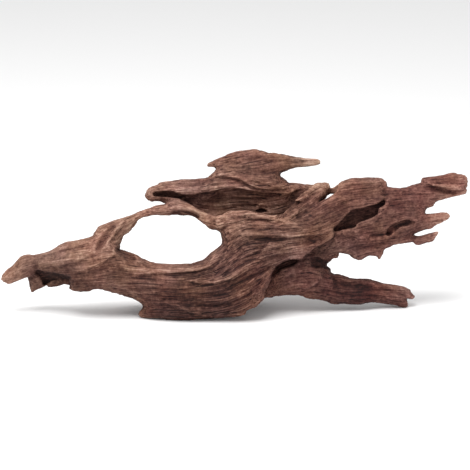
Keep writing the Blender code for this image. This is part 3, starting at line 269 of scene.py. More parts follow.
# Creases in the front: (half width, depth, stroke); a negative depth is a ridge.
CREASES = {
    "beak top groove": (3, 1.6, ((-185, 66.5), (-169, 70.5), (-155, 73), (-143, 76))),
    "beak keel": (3, -2, ((-197, 57.5), (-180, 59), (-165, 64), (-154, 68.5), (-142, 72.5))),
    "beak diagonal ridge": (2.2, -1.4, ((-108, 104), (-118, 92), (-126, 79), (-132, 69))),
    "beak second diagonal": (2.2, 1.6, ((-106, 99), (-116, 87), (-123, 75))),
    "cheek ridge": (3.5, -1.8, ((-149, 39), (-128, 38.5), (-108, 33), (-94, 24))),
    "cheek hollow": (4, 1.8, ((-147, 47), (-132, 51), (-119, 57))),
    "jaw tooth": (2.5, -1.5, ((-205, 42), (-202, 32))),
    "hole ridge": (3.2, -2.6, ((-115, 59), (-105, 52), (-85, 51), (-67, 52.5), (-53, 52.5),
        (-38, 54.5), (-26, 59.5), (-16, 70))),
    "tongue": (3.2, -2.4, ((-53, 43), (-38, 40.5), (-18, 39.5), (-3, 45), (8, 51), (20, 58),
        (29, 66))),
    "belly furrow": (3, 1.6, ((-107, 31), (-85, 33), (-65, 31.5), (-45, 30), (-22, 27), (-3, 25))),
    "belly low furrow": (3, 1.6, ((-85, 23), (-60, 21.5), (-35, 18), (-9, 16), (9, 21))),
    "second furrow": (2, 2.6, ((8, 78.5), (20, 81), (34, 81.5), (53, 80))),
    "third furrow": (2, 1.8, ((49, 75.5), (65, 77.5), (83, 80), (95, 85))),
    "hole side fibres": (2, 2.2, ((-10, 85), (-9, 72), (-16, 59), (-27, 49))),
    "hole outer fibres": (2, 2.2, ((-4, 81), (-3, 69), (-10, 56), (-22, 45))),
    "far fibres": (2, 2, ((3, 78), (6, 68), (-3, 55), (-13, 44))),
    "column rim": (1.6, -1.5, ((96, 84.5), (89, 79), (79, 73), (72, 67.5), (62, 61), (51, 59),
        (41, 55), (35.5, 48), (32, 39), (27, 30), (26, 23))),
    "fan one": (2, 2.4, ((-11, 30), (3, 38), (17, 45), (29, 51), (45, 59))),
    "fan two": (2, 2, ((9, 59), (17, 64), (29, 68), (43, 71), (57, 72))),
    "fan three": (2.2, 2, ((11, 25), (21, 35), (30, 45))),
    "fan four": (2, 1.8, ((11, 53), (23, 59.5), (37, 64), (53, 66))),
    "burl brow": (3.2, -2, ((3, 107.5), (17, 108), (27, 104.5), (41, 103))),
    "burl wrinkle": (1.6, 1.8, ((-16, 95), (-13, 101.5), (-5, 105), (6, 104), (17, 100))),
    "burl low wrinkle": (1.5, 1.6, ((-14, 89), (-9, 95), (0, 98), (12, 96.5))),
    "burl furrow": (2, 2.4, ((5, 100), (20, 101), (40, 99.5), (57, 96))),
    "brow furrow": (1.8, 1.8, ((19, 104), (31, 100), (45, 95), (61, 93))),
    "burl low furrow": (1.8, 1.6, ((-5, 91.5), (10, 92), (27, 93), (47, 91), (67, 90.5))),
    "fin top groove": (2, 1.8, ((-18, 154), (-5, 161.5), (11, 168.5))),
    "fin second groove": (2, 1.5, ((-7, 155), (10, 161), (28, 164.5))),
    "fin third groove": (2, 1.4, ((27, 158), (45, 160.5), (65, 162.5))),
    "fin low groove": (2.4, 1.2, ((5, 151), (23, 150), (41, 149))),
    "prong brow": (2.4, -1.6, ((-87, 129.5), (-70, 132), (-45, 130.5), (-32, 132.5), (-24, 137),
        (-16, 141.5))),
    "prong groove": (2.4, 1.4, ((-80, 134.5), (-60, 136), (-40, 136.5), (-28, 140.5))),
    "knob crack": (1.8, 4.5, ((61, 102.5), (73, 110), (85, 118.5))),
    "knob groove": (2, 1.2, ((65, 117), (75, 125), (83, 132))),
    "arm brow": (2.5, -1.6, ((105, 135), (115, 139), (127, 138.5), (145, 140))),
    "arm step": (2.5, 2.4, ((147, 140), (151, 132), (149, 123))),
    "arm furrow": (2.2, 1.8, ((151, 114), (168, 114), (183, 116))),
    "arm slab rim": (2, -1.5, ((106, 137), (116, 139.5), (128, 139.5), (144, 139.5))),
    "arm end furrow": (2, 1.6, ((195, 137), (211, 139), (228, 137.5))),
    "arm end gash": (2.4, 3.2, ((189, 134), (202, 132.5), (217, 129), (226, 126.5))),
    "arm end ridge": (2.2, -1.6, ((183, 133.5), (199, 135.5), (220, 133.5), (231, 130.5))),
    "window lobe": (2.4, -2.6, ((122, 94), (121, 88), (126, 82.5), (136, 85))),
    "dotted groove": (1.6, 1.8, ((132, 83), (145, 86), (155, 88))),
    "arm low groove": (2, 1.6, ((163, 79), (178, 86.5), (189, 91.5), (206, 100.5))),
    "arm under window": (3, 1.6, ((103, 84), (113, 83), (121, 76), (131, 72))),
    "arm flap groove": (2.2, 1.4, ((117, 71), (133, 74), (150, 78), (163, 85))),
    "arm face groove": (2.2, 1.2, ((87, 104), (102, 113), (117, 121), (135, 128))),
    "leaf hollow": (4, 1.6, ((49, 41), (63, 45), (77, 44))),
    "leaf rim": (1.7, -2, ((38, 46), (46, 51.5), (61, 53.5), (79, 52.5), (88, 47), (86, 41))),
    "limb groove": (2.2, 1.8, ((67, 26.5), (93, 30), (110, 26), (137, 25.5), (157, 24))),
    "limb crack": (1.8, 2, ((98, 47), (101, 37))),
    "limb tip groove": (2.2, 1.6, ((145, 32), (160, 29), (174, 24))),
    "limb ridge": (2.5, -1.5, ((103, 44.5), (120, 40), (141, 37.5), (161, 32.5))),
    "limb hollow": (5.5, 5, ((97, 35), (110, 35), (125, 34), (143, 32))),
}

# Ledges in the front: (height, reach above, reach below, stroke). The wood on the left of the
# stroke's way stands proud of the wood on its right.
LEDGES = {
    "burl eave": (4.4, 5, 5, ((4, 85.5), (20, 84), (40, 85), (54, 83.6), (72, 85), (88, 86.4),
        (97, 89.5))),
    "hole lip": (2.6, 4, 5, ((-106, 42), (-93, 46.5), (-77, 48), (-63, 48.5), (-50, 49), (-37, 50),
        (-26, 54.5), (-17, 63))),
    "tongue edge": (2.6, 4, 5, ((-54, 41), (-38, 38.5), (-18, 38), (-1, 43), (12, 50), (22, 56.5),
        (31, 65))),
    "belly lip": (2.6, 2.5, 6, ((-73, 19), (-59, 14.5), (-45, 9.5), (-31, 5.5))),
    "fin fold": (4, 5, 7, ((-30, 144.5), (-12, 144.5), (4, 142), (12, 137), (22, 132.5),
        (36, 131), (50, 131.5), (60, 136))),
    "fin crest": (2.2, 4, 6, ((10, 142), (24, 139), (38, 134), (52, 133))),
    "arm end fold": (2.8, 6, 6, ((183, 137), (195, 136.5), (206, 133), (218, 130.5), (230, 130))),
    "crescent brow": (1.8, 3, 3, ((179, 98.5), (171, 100.5), (163, 98.5), (157, 95), (152, 89))),
    "window brow": (1.8, 4, 3, ((149, 121), (142, 118.5), (128, 114.5), (115, 111.5), (105, 102),
        (98, 92))),
    "arm shoulder": (2.2, 5, 6, ((153, 133), (166, 131.5), (180, 128), (194, 127))),
    "burl side": (2.6, 5, 4, ((-18, 107), (-19.5, 99), (-17, 89), (-13, 82))),
    "flap edge": (3.2, 4, 6, ((36, 82), (32, 77), (27, 71), (21, 64))),
    "leaf": (2.6, 3, 3, ((65, 29), (79, 35), (88, 43), (86, 48), (79, 52), (61, 53), (46, 51.5),
        (38, 46))),
    "knob side": (2.4, 5, 4, ((88, 131), (72, 119), (57, 107), (47, 100))),
    "arm cheek": (1.8, 4, 5, ((100, 104), (117, 111), (135, 119), (150, 124))),
    "beak brow": (1.8, 6, 6, ((-198, 50.5), (-180, 54), (-165, 57), (-150, 62), (-136, 69))),
    "cheek roll": (2.6, 5, 5, ((-163, 47.5), (-150, 50), (-138, 54), (-127, 60), (-117, 68))),
    "beak nose": (2.2, 4, 4, ((-194, 62), (-197, 58.5), (-196, 53), (-191, 48.5))),
    "beak fold": (2, 4, 4, ((-155, 64.5), (-168, 62), (-182, 60.5), (-191, 58.5))),
}

# The same for the rear, drawn as seen through from the front.
REAR_PITS = {
    "rear knot": (9, 3, ((88, 96), (94, 101), (103, 101), (107, 95), (101, 90), (92, 90))),
    "rear split": (5, 2.5, ((-75, 28), (-55, 31), (-30, 31), (-12, 34), (-14, 38), (-35, 36.5),
        (-60, 35), (-76, 31))),
    "rear gash": (9, 2.5, ((18, 60), (24, 72), (22, 90), (17, 100), (13, 96), (15, 80),
        (13, 66))),
    "rear arm split": (7, 2.5, ((120, 106), (140, 112), (165, 118), (185, 124), (184, 128),
        (160, 123), (135, 117), (119, 110))),
    "rear fin hollow": (8, 4, ((-25, 128), (-5, 134), (20, 138), (45, 140), (44, 145), (15, 146),
        (-10, 141), (-26, 133))),
}
REAR_CREASES = {
    "rear beak furrow": (3, 2.5, ((-215, 50), (-190, 55), (-160, 60), (-130, 70))),
    "rear beak low furrow": (3, 2, ((-190, 45), (-160, 45), (-125, 50))),
    "rear arch furrow": (2.5, 2, ((-110, 92), (-90, 106), (-60, 112), (-35, 106))),
    "rear fin furrow": (3, 2.5, ((-18, 155), (10, 158), (45, 160), (75, 160))),
    "rear fin fold": (3.5, -2.5, ((-70, 132), (-40, 134), (-10, 146), (20, 151), (45, 151))),
    "rear prong furrow": (2.5, 2, ((-80, 128), (-50, 128), (-20, 132))),
    "rear arm furrow": (3, 2.5, ((60, 84), (95, 82), (130, 90), (160, 98))),
    "rear limb furrow": (3, 2.5, ((30, 40), (70, 42), (110, 34), (160, 26))),
    "rear heel furrow": (3, 2.5, ((-90, 22), (-50, 18), (0, 22), (30, 35))),
}
REAR_LEDGES = {
    "rear fin fold": (2.4, 4, 7, ((-25, 141), (0, 144), (25, 150), (50, 150))),
    "rear rib edge": (2.6, 5, 5, ((30, 50), (38, 80), (32, 105), (25, 125))),
    "rear arm edge": (2.2, 5, 5, ((110, 100), (140, 106), (170, 114), (200, 124))),
    "rear hole lip": (2.4, 4, 5, ((-100, 50), (-60, 46), (-25, 50), (-8, 65))),
}

# How strongly the grain shows near each (x, h, level) spot.
GRAIN_LEVELS = (
    (-215, 50, 0.25), (-170, 60, 0.3), (-120, 80, 0.5), (-60, 112, 0.6), (-90, 30, 0.8),
    (-40, 20, 1.0), (0, 40, 1.1), (20, 70, 1.1), (50, 80, 1.0), (30, 100, 1.0), (10, 160, 0.6),
    (-50, 132, 0.7), (120, 128, 0.35), (150, 110, 0.55), (200, 135, 0.45), (150, 80, 0.6),
    (80, 40, 0.5), (150, 28, 0.5), (42, 34, 0.3),
)

# Grain: strokes that the fibres follow, all drawn from left to right.
GRAIN = (
    ((-233, 43), (-210, 59), (-175, 69), (-140, 78), (-117, 89), (-95, 105), (-60, 114), (-30, 104),
     (-5, 98), (35, 100), (65, 98), (100, 112), (150, 132)),
    ((-227, 39), (-190, 50), (-155, 50), (-125, 58), (-100, 55), (-70, 51), (-40, 53), (-20, 64),
     (-5, 84), (12, 102), (40, 102)),
    ((-165, 34), (-125, 37), (-85, 37), (-45, 38), (-15, 46), (5, 60), (28, 70), (65, 75),
     (92, 84)),
    ((-95, 21), (-55, 18), (-15, 21), (15, 31), (33, 46), (50, 60)),
    ((-92, 7), (-35, 4), (5, 10), (27, 25)),
    ((-88, 127), (-55, 133), (-20, 138), (5, 136), (35, 131), (75, 133)),
    ((-25, 118), (15, 117), (55, 120), (83, 133)),
    ((-23, 152), (15, 154), (50, 162), (84, 160)),
    ((-26, 157), (10, 168), (40, 167)),
    ((33, 96), (55, 107), (83, 131)),
    ((105, 130), (145, 135), (195, 136), (231, 139)),
    ((110, 114), (155, 124), (195, 128), (231, 132)),
    ((105, 84), (130, 95), (165, 108), (213, 105)),
    ((116, 66), (145, 79), (175, 92), (211, 104)),
    ((152, 75), (185, 80), (202, 87)),
    ((27, 29), (50, 36), (85, 36), (125, 29), (180, 24)),
    ((45, 51), (75, 53), (100, 43), (135, 38), (177, 28)),
)


def rounded(points, cuts=4):
    """A closed outline as a smooth curve through its points."""
    p = np.array(points, float)
    before, after, beyond = np.roll(p, 1, 0), np.roll(p, -1, 0), np.roll(p, -2, 0)
    out = []
    for t in np.arange(cuts) / cuts:
        out.append(
            0.5 * (2 * p + (after - before) * t
                   + (2 * before - 5 * p + 4 * after - beyond) * t**2
                   + (3 * p - before - 3 * after + beyond) * t**3)
        )
    return np.stack(out, 1).reshape(-1, 2)


def depth_inside(outline, x, h):
    """How far each place (x, h) lies inside a closed outline; negative outside."""
    corners = rounded(outline)
    nearest = np.full(np.broadcast(x, h).shape, 1e9)
    inside = np.zeros(nearest.shape, bool)
    for (ax, ah), (bx, bh) in zip(corners, np.roll(corners, -1, 0)):
        ex, eh = bx - ax, bh - ah
        t = np.clip(((x - ax) * ex + (h - ah) * eh) / (ex * ex + eh * eh + 1e-12), 0, 1)
        nearest = np.minimum(nearest, (x - ax - t * ex) ** 2 + (h - ah - t * eh) ** 2)
        if ah != bh:
            crosses = (ah > h) != (bh > h)
            inside ^= crosses & (x < ax + (h - ah) * ex / eh)
    return np.where(inside, 1, -1) * np.sqrt(nearest)


def conjugate_gradients(apply, right, start, rounds):
    """The solution of apply(v) = right, for a symmetric positive apply."""
    v = start.copy()
    rest = right - apply(v)
    way = rest.copy()
    size = (rest * rest).sum()
    for _ in range(rounds):
        moved = apply(way)
        length = size / ((way * moved).sum() + 1e-30)
        v += length * way
        rest -= length * moved
        new_size = (rest * rest).sum()
        if new_size < CLOSE * (right * right).sum():
            break
        way = rest + (new_size / size) * way
        size = new_size
    return v


def swell(inside, step):
    """The squared half depth of a sheet: a soap film's height over the outline, so that every
    cross section is a lens whose depth goes with the width there."""
    mask = inside > -step

    def stiffness(v):
        v = v * mask
        out = 4 * v
        out[1:] -= v[:-1]
        out[:-1] -= v[1:]
        out[:, 1:] -= v[:, :-1]
        out[:, :-1] -= v[:, 1:]
        return np.where(mask, out, v)

    load = np.where(mask, 2.0 * step * step, 0.0)
    film = conjugate_gradients(stiffness, load, load, FILM_ROUNDS)
    shaped = film * inside / (inside + RIM)
    return np.where(inside > 0, shaped, OUTER_FALL * inside)


def through_spots(spots, x, h, reach=30.0):
    """A smooth value over (x, h) that passes near each (x, h, value) spot."""
    total, weight = 0.0, 0.0
    for sx, sh, value in spots:
        w = 1.0 / ((x - sx) ** 2 + (h - sh) ** 2 + reach**2) ** 2
        total, weight = total + w * value, weight + w
    return total / weight


def grain_frame(x, h):
    """(along, across): how far each place lies along the fibres and across them."""
    way_x, way_h = np.zeros((2,) + x.shape)
    for stroke in GRAIN:
        for (ax, ah), (bx, bh) in zip(stroke, stroke[1:]):
            ex, eh = bx - ax, bh - ah
            t = np.clip(((x - ax) * ex + (h - ah) * eh) / (ex * ex + eh * eh), 0, 1)
            near = (x - ax - t * ex) ** 2 + (h - ah - t * eh) ** 2
            weight = 1.0 / (near + STROKE_REACH**2) ** 2
            way_x, way_h = way_x + ex * weight, way_h + eh * weight
    size = np.hypot(way_x, way_h)
    way_x, way_h = way_x / size, way_h / size
    step = x[1, 0] - x[0, 0]

    def slopes(v):
        out_x, out_h = np.zeros_like(v), np.zeros_like(v)
        out_x[:-1], out_h[:, :-1] = v[1:] - v[:-1], v[:, 1:] - v[:, :-1]
        return out_x / step, out_h / step

    def gather(gx, gh):
        out = np.zeros_like(gx)
        out[1:] += gx[:-1]
        out[:-1] -= gx[:-1]
        out[:, 1:] += gh[:, :-1]
        out[:, :-1] -= gh[:, :-1]
        return out / step

    def potential(want_x, want_h, hold, start):
        """The height whose slope follows (want_x, want_h) and barely changes along hold."""

        def pull(v):
            gx, gh = slopes(v)
            along = FIRM * (gx * hold[0] + gh * hold[1])
            return gather(gx + along * hold[0], gh + along * hold[1])

        return conjugate_gradients(pull, gather(want_x, want_h), start, GRAIN_ROUNDS)

    across = potential(-way_h, way_x, (way_x, way_h), h.copy())
    along = potential(way_x, way_h, (0 * way_x, 0 * way_x), x.copy())
    return along, across


def wave_noise(a, b, c, seed):
    """Smooth gradient noise between about -1 and 1, one wave to each unit of a, b and c."""
    period, swing = 32, 1.6
    table = np.random.default_rng(seed).normal(size=(period,) * 3 + (3,)).astype(np.float32)
    table /= np.linalg.norm(table, axis=3, keepdims=True)
    places = [np.asarray(v, np.float32) for v in (a, b, c)]
    cells = [np.floor(v).astype(np.int32) for v in places]
    parts = [v - w for v, w in zip(places, cells)]
    ease = [t * t * t * (t * (6 * t - 15) + 10) for t in parts]
    total = np.zeros(places[0].shape, np.float32)
    for i, j, k in CORNERS:
        corner = table[tuple((cell + n) % period for cell, n in zip(cells, (i, j, k)))]
        dot = ((parts[0] - i) * corner[..., 0] + (parts[1] - j) * corner[..., 1]
               + (parts[2] - k) * corner[..., 2])
        share = ((ease[0] if i else 1 - ease[0]) * (ease[1] if j else 1 - ease[1])
                 * (ease[2] if k else 1 - ease[2]))
        total += share * dot
    return swing * total


def furrows(along, across, behind, strengths, width_share, raised):
    """Narrow grooves between rounded ridges, along the grain: the sum of the furrows of every
    width, each with its strength."""
    total = np.zeros(np.shape(behind), np.float32)
    for i, (spacing, length, _, width) in enumerate(FURROWS):
        wave = wave_noise(across / spacing, behind / spacing, along / length, SEED + i)
        patch = wave_noise(across / PATCH, behind / PATCH, along / (2 * PATCH), PATCH_SEED + i)
        groove = np.exp(-((np.abs(wave) / (width_share * width)) ** FURROW_EDGE))
        total += strengths[i] * (1 + PATCH_SWING * patch) * (groove - raised)
    return total


def soft_union(a, b, fillet):
    """The solids a and b as one, with a fillet where they meet."""
    mix = np.maximum(fillet - np.abs(a - b), 0.0) / fillet
    return np.minimum(a, b) - mix * mix * fillet * 0.25


def soft_cut(a, b, fillet):
    """What is left of the solid a once the solid b is taken away."""
    return -soft_union(-a, b, fillet)


def rod(path, depth_share, x, h, d):
    """The distance from a tapered round that follows path; depth_share is its depth for its
    width."""
    best = None
    for (ax, ah, ad, ar), (bx, bh, bd, br) in zip(path, path[1:]):
        ex, eh, ed = bx - ax, bh - ah, (bd - ad) / depth_share
        px, ph, pd = x - ax, h - ah, (d - ad) / depth_share
        t = np.clip((px * ex + ph * eh + pd * ed) / (ex * ex + eh * eh + ed * ed), 0, 1)
        away = np.sqrt((px - t * ex) ** 2 + (ph - t * eh) ** 2 + (pd - t * ed) ** 2)
        away = away - (ar + (br - ar) * t)
        best = away if best is None else np.minimum(best, away)
    return best


def near_path(path, depth_share, axes, margin):
    """The slices of the axes that come within margin of a path."""
    p = np.array(path, float)
    reach = p[:, 3] * np.array([[1.0], [1.0], [depth_share]])
    slices = []
    for k in range(3):
        low = (p[:, k] - reach[k]).min() - margin
        high = (p[:, k] + reach[k]).max() + margin
        slices.append(slice(int(np.searchsorted(axes[k], low)),
                            int(np.searchsorted(axes[k], high)) + 1))
    return tuple(slices)


def cell_of(axes):
    """How far apart the places of the grid are."""
    return axes[0][1] - axes[0][0]


def face_plan(axes):
    """The x and the h of every place of the view plane."""
    return np.meshgrid(axes[0], axes[1], indexing="ij")


def sheet_field(name, axes):
    """The field of one sheet."""
    outline, spots = SHEETS[name]
    cell = cell_of(axes)
    x, h = face_plan(axes)
    inside = depth_inside(outline, x, h)
    if name == "front":
        inside = np.minimum(inside, -depth_inside(HOLE, x, h))
    film = swell(inside, cell)
    fullness = through_spots([spot[:2] + spot[3:] for spot in spots], x, h)
    half = np.where(film > 0, film * fullness**2, film)
    slope_x, slope_h = np.gradient(half, cell)
    steep = (slope_x**2 + slope_h**2).astype(np.float32)[..., None]
    middle = through_spots([spot[:3] for spot in spots], x, h)
    away = axes[2].astype(np.float32) - middle.astype(np.float32)[..., None]
    return (away**2 - half.astype(np.float32)[..., None]) / np.sqrt(4 * away**2 + steep + 1.0)


def add_limbs(field, axes, limbs):
    """Joins each limb where it runs."""
    for depth_share, path in limbs.values():
        where = near_path(path, depth_share, axes, JOIN_FILLET)
        x, h, d = np.meshgrid(*[a[s] for a, s in zip(axes, where)], indexing="ij", sparse=True)
        field[where] = soft_union(field[where], rod(path, depth_share, x, h, d), JOIN_FILLET)


def front_face(field, axes):
    """How deep the first surface lies behind each (x, h), and the far end where there is none."""
    solid = field < 0
    first = solid.argmax(2)
    i, j = np.indices(first.shape)
    here = field[i, j, first]
    before = field[i, j, np.maximum(first - 1, 0)]
    step = axes[2][1] - axes[2][0]
    face = axes[2][first] - step * here / np.minimum(here - before, -1e-6)
    return np.where(solid.any(2), face, axes[2][-1])


def blurred(grid, reach):
    """The grid smoothed by a bell curve of that reach, in cells, along each axis."""
    for axis in range(grid.ndim):
        turns = np.fft.rfftfreq(grid.shape[axis])
        bell = np.exp(-0.5 * (2 * math.pi * turns * reach) ** 2).astype(np.float32)
        shape = [1] * grid.ndim
        shape[axis] = len(bell)
        waves = np.fft.rfft(grid, axis=axis) * bell.reshape(shape)
        grid = np.fft.irfft(waves, grid.shape[axis], axis=axis).astype(np.float32)
    return grid


def lie_of_face(field, axes):
    """How deep the front face lies at each (x, h), smoothed over its small forms."""
    face = front_face(field, axes)
    there = face < axes[2][-1]
    reach = LIE_REACH / cell_of(axes)
    share = np.maximum(blurred(there.astype(float), reach), 1e-3)
    return blurred(np.where(there, face, 0.0), reach) / share


def carve_pits(field, axes, pits):
    """Sinks every pit below the plane of the surface that it opens in."""
    x, h = face_plan(axes)
    for depth, wall, outline in pits.values():
        face = front_face(field, axes)
        inside = depth_inside(outline, x, h)
        within = (inside > 0) & (face < axes[2][-1])
        sides = np.stack([np.ones(within.sum()), x[within], h[within]], 1)
        plane = np.linalg.lstsq(sides, face[within], rcond=None)[0]
        i, j = np.nonzero(inside > -PIT_MARGIN)
        floor = plane[0] + plane[1] * x[i, j] + plane[2] * h[i, j] + depth
        below = (axes[2][None, :] - floor[:, None]).astype(np.float32)
        cutter = -soft_union(inside[i, j, None], -below, wall)
        field[i, j] = soft_cut(field[i, j], cutter.astype(np.float32), PIT_FILLET)


def beside_stroke(stroke, x, h):
    """(away, fade): how far each (x, h) lies from a stroke, more than nothing on its left, and a
    share that falls off towards its two ends."""
    points = np.array(stroke, float)
    lengths = np.hypot(*(points[1:] - points[:-1]).T)
    near, place, side, start = np.full(x.shape, 1e9), np.zeros(x.shape), np.ones(x.shape), 0.0
    for (ax, ah), (bx, bh), length in zip(points, points[1:], lengths):
        ex, eh = bx - ax, bh - ah
        t = np.clip(((x - ax) * ex + (h - ah) * eh) / length**2, 0, 1)
        away = np.hypot(x - ax - t * ex, h - ah - t * eh)
        place = np.where(away < near, start + t * length, place)
        side = np.where(away < near, np.sign(ex * (h - ah) - eh * (x - ax)), side)
        near = np.minimum(near, away)
        start += length
    ends = np.clip(np.minimum(place, start - place) / (END_SHARE * start), 0, 1)
    return side * near, END_LEVEL + (1 - END_LEVEL) * ends * (2 - ends)


def crease_relief(stroke, half_width, x, h):
    """A crease's share of its depth at each (x, h): a sharp line that fades at both ends."""
    away, fade = beside_stroke(stroke, x, h)
    return fade * np.exp(-((np.abs(away) / half_width) ** CREASE_EDGE))


def ledge_relief(stroke, above, below, x, h):
    """A ledge's share of its height at each (x, h): proud on its left, cut in on its right."""
    away, fade = beside_stroke(stroke, x, h)
    proud = -PROUD_SHARE * np.exp(-np.maximum(away, 0) / above)
    sunk = SUNK_SHARE * np.exp(np.minimum(away, 0) / below)
    turn = np.clip(0.5 + away / STEP_WIDTH, 0, 1)
    return fade * (proud * turn + sunk * (1 - turn))


def room(field, cell):
    """How much of a cut each place can take: all of it where the wood is thick in depth."""
    deepest = field.copy()
    for k in range(1, round(THICK_REACH / cell) + 1):
        np.minimum(deepest[:, :, k:], field[:, :, :-k], out=deepest[:, :, k:])
        np.minimum(deepest[:, :, :-k], field[:, :, k:], out=deepest[:, :, :-k])
    return np.clip(-deepest / THICK, LEAST_CUT, 1.0)


def press_creases(field, axes, creases, ledges):
    """Presses the drawn grooves in, raises the drawn ridges and steps the drawn ledges, on the
    low side in depth. Gives how much was pressed in at each place."""
    x, h = face_plan(axes)
    relief = np.zeros(x.shape)
    for half_width, depth, stroke in creases.values():
        relief += depth * crease_relief(stroke, half_width, x, h)
    for height, above, below, stroke in ledges.values():
        relief += height * ledge_relief(stroke, above, below, x, h)
    relief = np.clip(relief, -PROUDEST, DEEPEST).astype(np.float32)
    face = front_face(field, axes).astype(np.float32)
    behind = axes[2].astype(np.float32)[None, None, :] - face[..., None]
    level = np.clip(CREASE_FADE * (1 - behind / CREASE_REACH), 0, 1)
    pressed = relief[..., None] * level * room(field, cell_of(axes))
    field += pressed
    return pressed


def cut_furrows(field, axes):
    """Furrows all of the surface along the grain. Gives what the finish needs: how far each
    (x, h) lies along and across the fibres, how strongly they show, and how deep the face is."""
    x, h = face_plan(axes)
    along, across = grain_frame(x, h)
    across = across + BEND * wave_noise(x / WANDER, h / WANDER, 0 * x, BEND_SEED)
    level = through_spots(GRAIN_LEVELS, x, h, reach=LEVEL_REACH)
    lie = lie_of_face(field, axes)
    share = room(field, cell_of(axes))
    i, j, k = np.nonzero(np.abs(field) < FURROW_REACH)
    depths = [depth for _, _, depth, _ in FURROWS]
    cut = furrows(along[i, j], across[i, j], axes[2][k] - lie[i, j], depths, 1.0, RAISED)
    field[i, j, k] += cut * (level[i, j] * share[i, j, k])
    return along, across, level, lie


def wood_field(cell):
    """(axes, field, pressed, grain): the view frame's axes, a field that is negative inside the
    wood, how far the creases press in, and the grids of the grain."""
    axes = [np.arange(low, high, cell) for low, high in VIEW_BOX]
    field = sheet_field("back", axes)
    add_limbs(field, axes, BACK_LIMBS)
    carve_pits(field, axes, BACK_PITS)
    for name in ("front", "jaw", "arm", "limb"):
        field = soft_union(field, sheet_field(name, axes), JOIN_FILLET)
    add_limbs(field, axes, LIMBS)
    turned, rear_axes = field[:, :, ::-1], (axes[0], axes[1], -axes[2][::-1])
    carve_pits(field, axes, PITS)
    carve_pits(turned, rear_axes, REAR_PITS)
    pressed = press_creases(field, axes, CREASES, LEDGES)
    pressed += press_creases(turned, rear_axes, REAR_CREASES, REAR_LEDGES)[:, :, ::-1]
    grain = cut_furrows(field, axes)
    return axes, field.astype(np.float32) - PLUMP, pressed, grain


def block(grid, i, j, k):
    """The grid shifted by one or nothing along each axis, cut to the cells between places."""
    return grid[i:i - 1 or None, j:j - 1 or None, k:k - 1 or None]


def corners_inside(solid):
    """How many of the eight corners of each cell lie in the solid."""
    return sum(block(solid, i, j, k).astype(np.uint8) for i, j, k in CORNERS)


def mend(field, step):
    """Fills the few places where two surfaces would touch along an edge or at a point."""
    for _ in range(MENDS):
        solid = field < 0
        bad = np.zeros(field.shape, bool)
        for a, b in ((0, 1), (0, 2), (1, 2)):
            corner = [[slice(None)] * 3 for _ in range(4)]
            for n, (i, j) in enumerate(((0, 0), (0, 1), (1, 0), (1, 1))):
                corner[n][a] = slice(i, i - 1 if i == 0 else None)
                corner[n][b] = slice(j, j - 1 if j == 0 else None)
            q = [solid[tuple(c)] for c in corner]
            crossed = (q[0] & q[3] & ~q[1] & ~q[2]) | (q[1] & q[2] & ~q[0] & ~q[3])
            for c in corner:
                bad[tuple(c)] |= crossed
        counts = corners_inside(solid)
        for i, j, k in ((0, 0, 0), (0, 0, 1), (0, 1, 0), (1, 0, 0)):
            one, other = block(solid, i, j, k), block(solid, 1 - i, 1 - j, 1 - k)
            crossed = (one & other & (counts == 2)) | (~one & ~other & (counts == 6))
            block(bad, i, j, k)[...] |= crossed
            block(bad, 1 - i, 1 - j, 1 - k)[...] |= crossed
            block(bad, 1 - i, j, k)[...] |= crossed & (counts == 2)
            block(bad, i, 1 - j, k)[...] |= crossed & (counts == 2)
        bad &= ~solid
        if not bad.any():
            break
        field[bad] = -SLIVER * step
    return field


def skin(field, axes):
    """(points, quads) of the surface where the field crosses zero, one point to a cell."""
    solid = field < 0
    counts = corners_inside(solid)
    cells = np.nonzero((counts > 0) & (counts < 8))
    number = np.full(counts.shape, -1, np.int64)
    number[cells] = np.arange(len(cells[0]))
    value = [field[cells[0] + i, cells[1] + j, cells[2] + k] for i, j, k in CORNERS]
    place = np.zeros((len(cells[0]), 3))
    share = np.zeros(len(cells[0]))
    for m, low in enumerate(CORNERS):
        for n, high in enumerate(CORNERS):
            if sum(high) != sum(low) + 1 or any(b < a for a, b in zip(low, high)):
                continue
            crossed = (value[m] < 0) != (value[n] < 0)
            t = np.where(crossed, value[m] / np.where(crossed, value[m] - value[n], 1), 0)
            for axis in range(3):
                place[:, axis] += crossed * (low[axis] + t * (high[axis] - low[axis]))
            share += crossed
    place = place / share[:, None] + np.stack(cells, 1)
    points = np.array([a[0] for a in axes]) + place * cell_of(axes)
    quads = []
    for axis in range(3):
        u, v = [n for n in range(3) if n != axis]
        here = [slice(1, -1)] * 3
        here[axis] = slice(0, -1)
        there = list(here)
        there[axis] = slice(1, None)
        first, second = solid[tuple(here)], solid[tuple(there)]
        where = np.nonzero(first != second)
        base = [w + s.start for w, s in zip(where, here)]
        around = []
        for du, dv in ((-1, -1), (0, -1), (0, 0), (-1, 0)):
            at = list(base)
            at[u], at[v] = base[u] + du, base[v] + dv
            around.append(number[tuple(at)])
        loop = np.stack(around, 1)
        outward = first[where] == (axis == 1)
        quads.append(np.where(outward[:, None], loop, loop[:, ::-1]))
    return points, np.concatenate(quads)


def to_world(points):
    """View frame points, in drawing units, as world points in metres."""
    x, h, d = points.T
    y = h * math.sin(TILT) + d * math.cos(TILT)
    z = h * math.cos(TILT) - d * math.sin(TILT)
    return np.stack([x - MIDDLE_X, y - MIDDLE_Y, z - FLOOR], 1) * UNIT


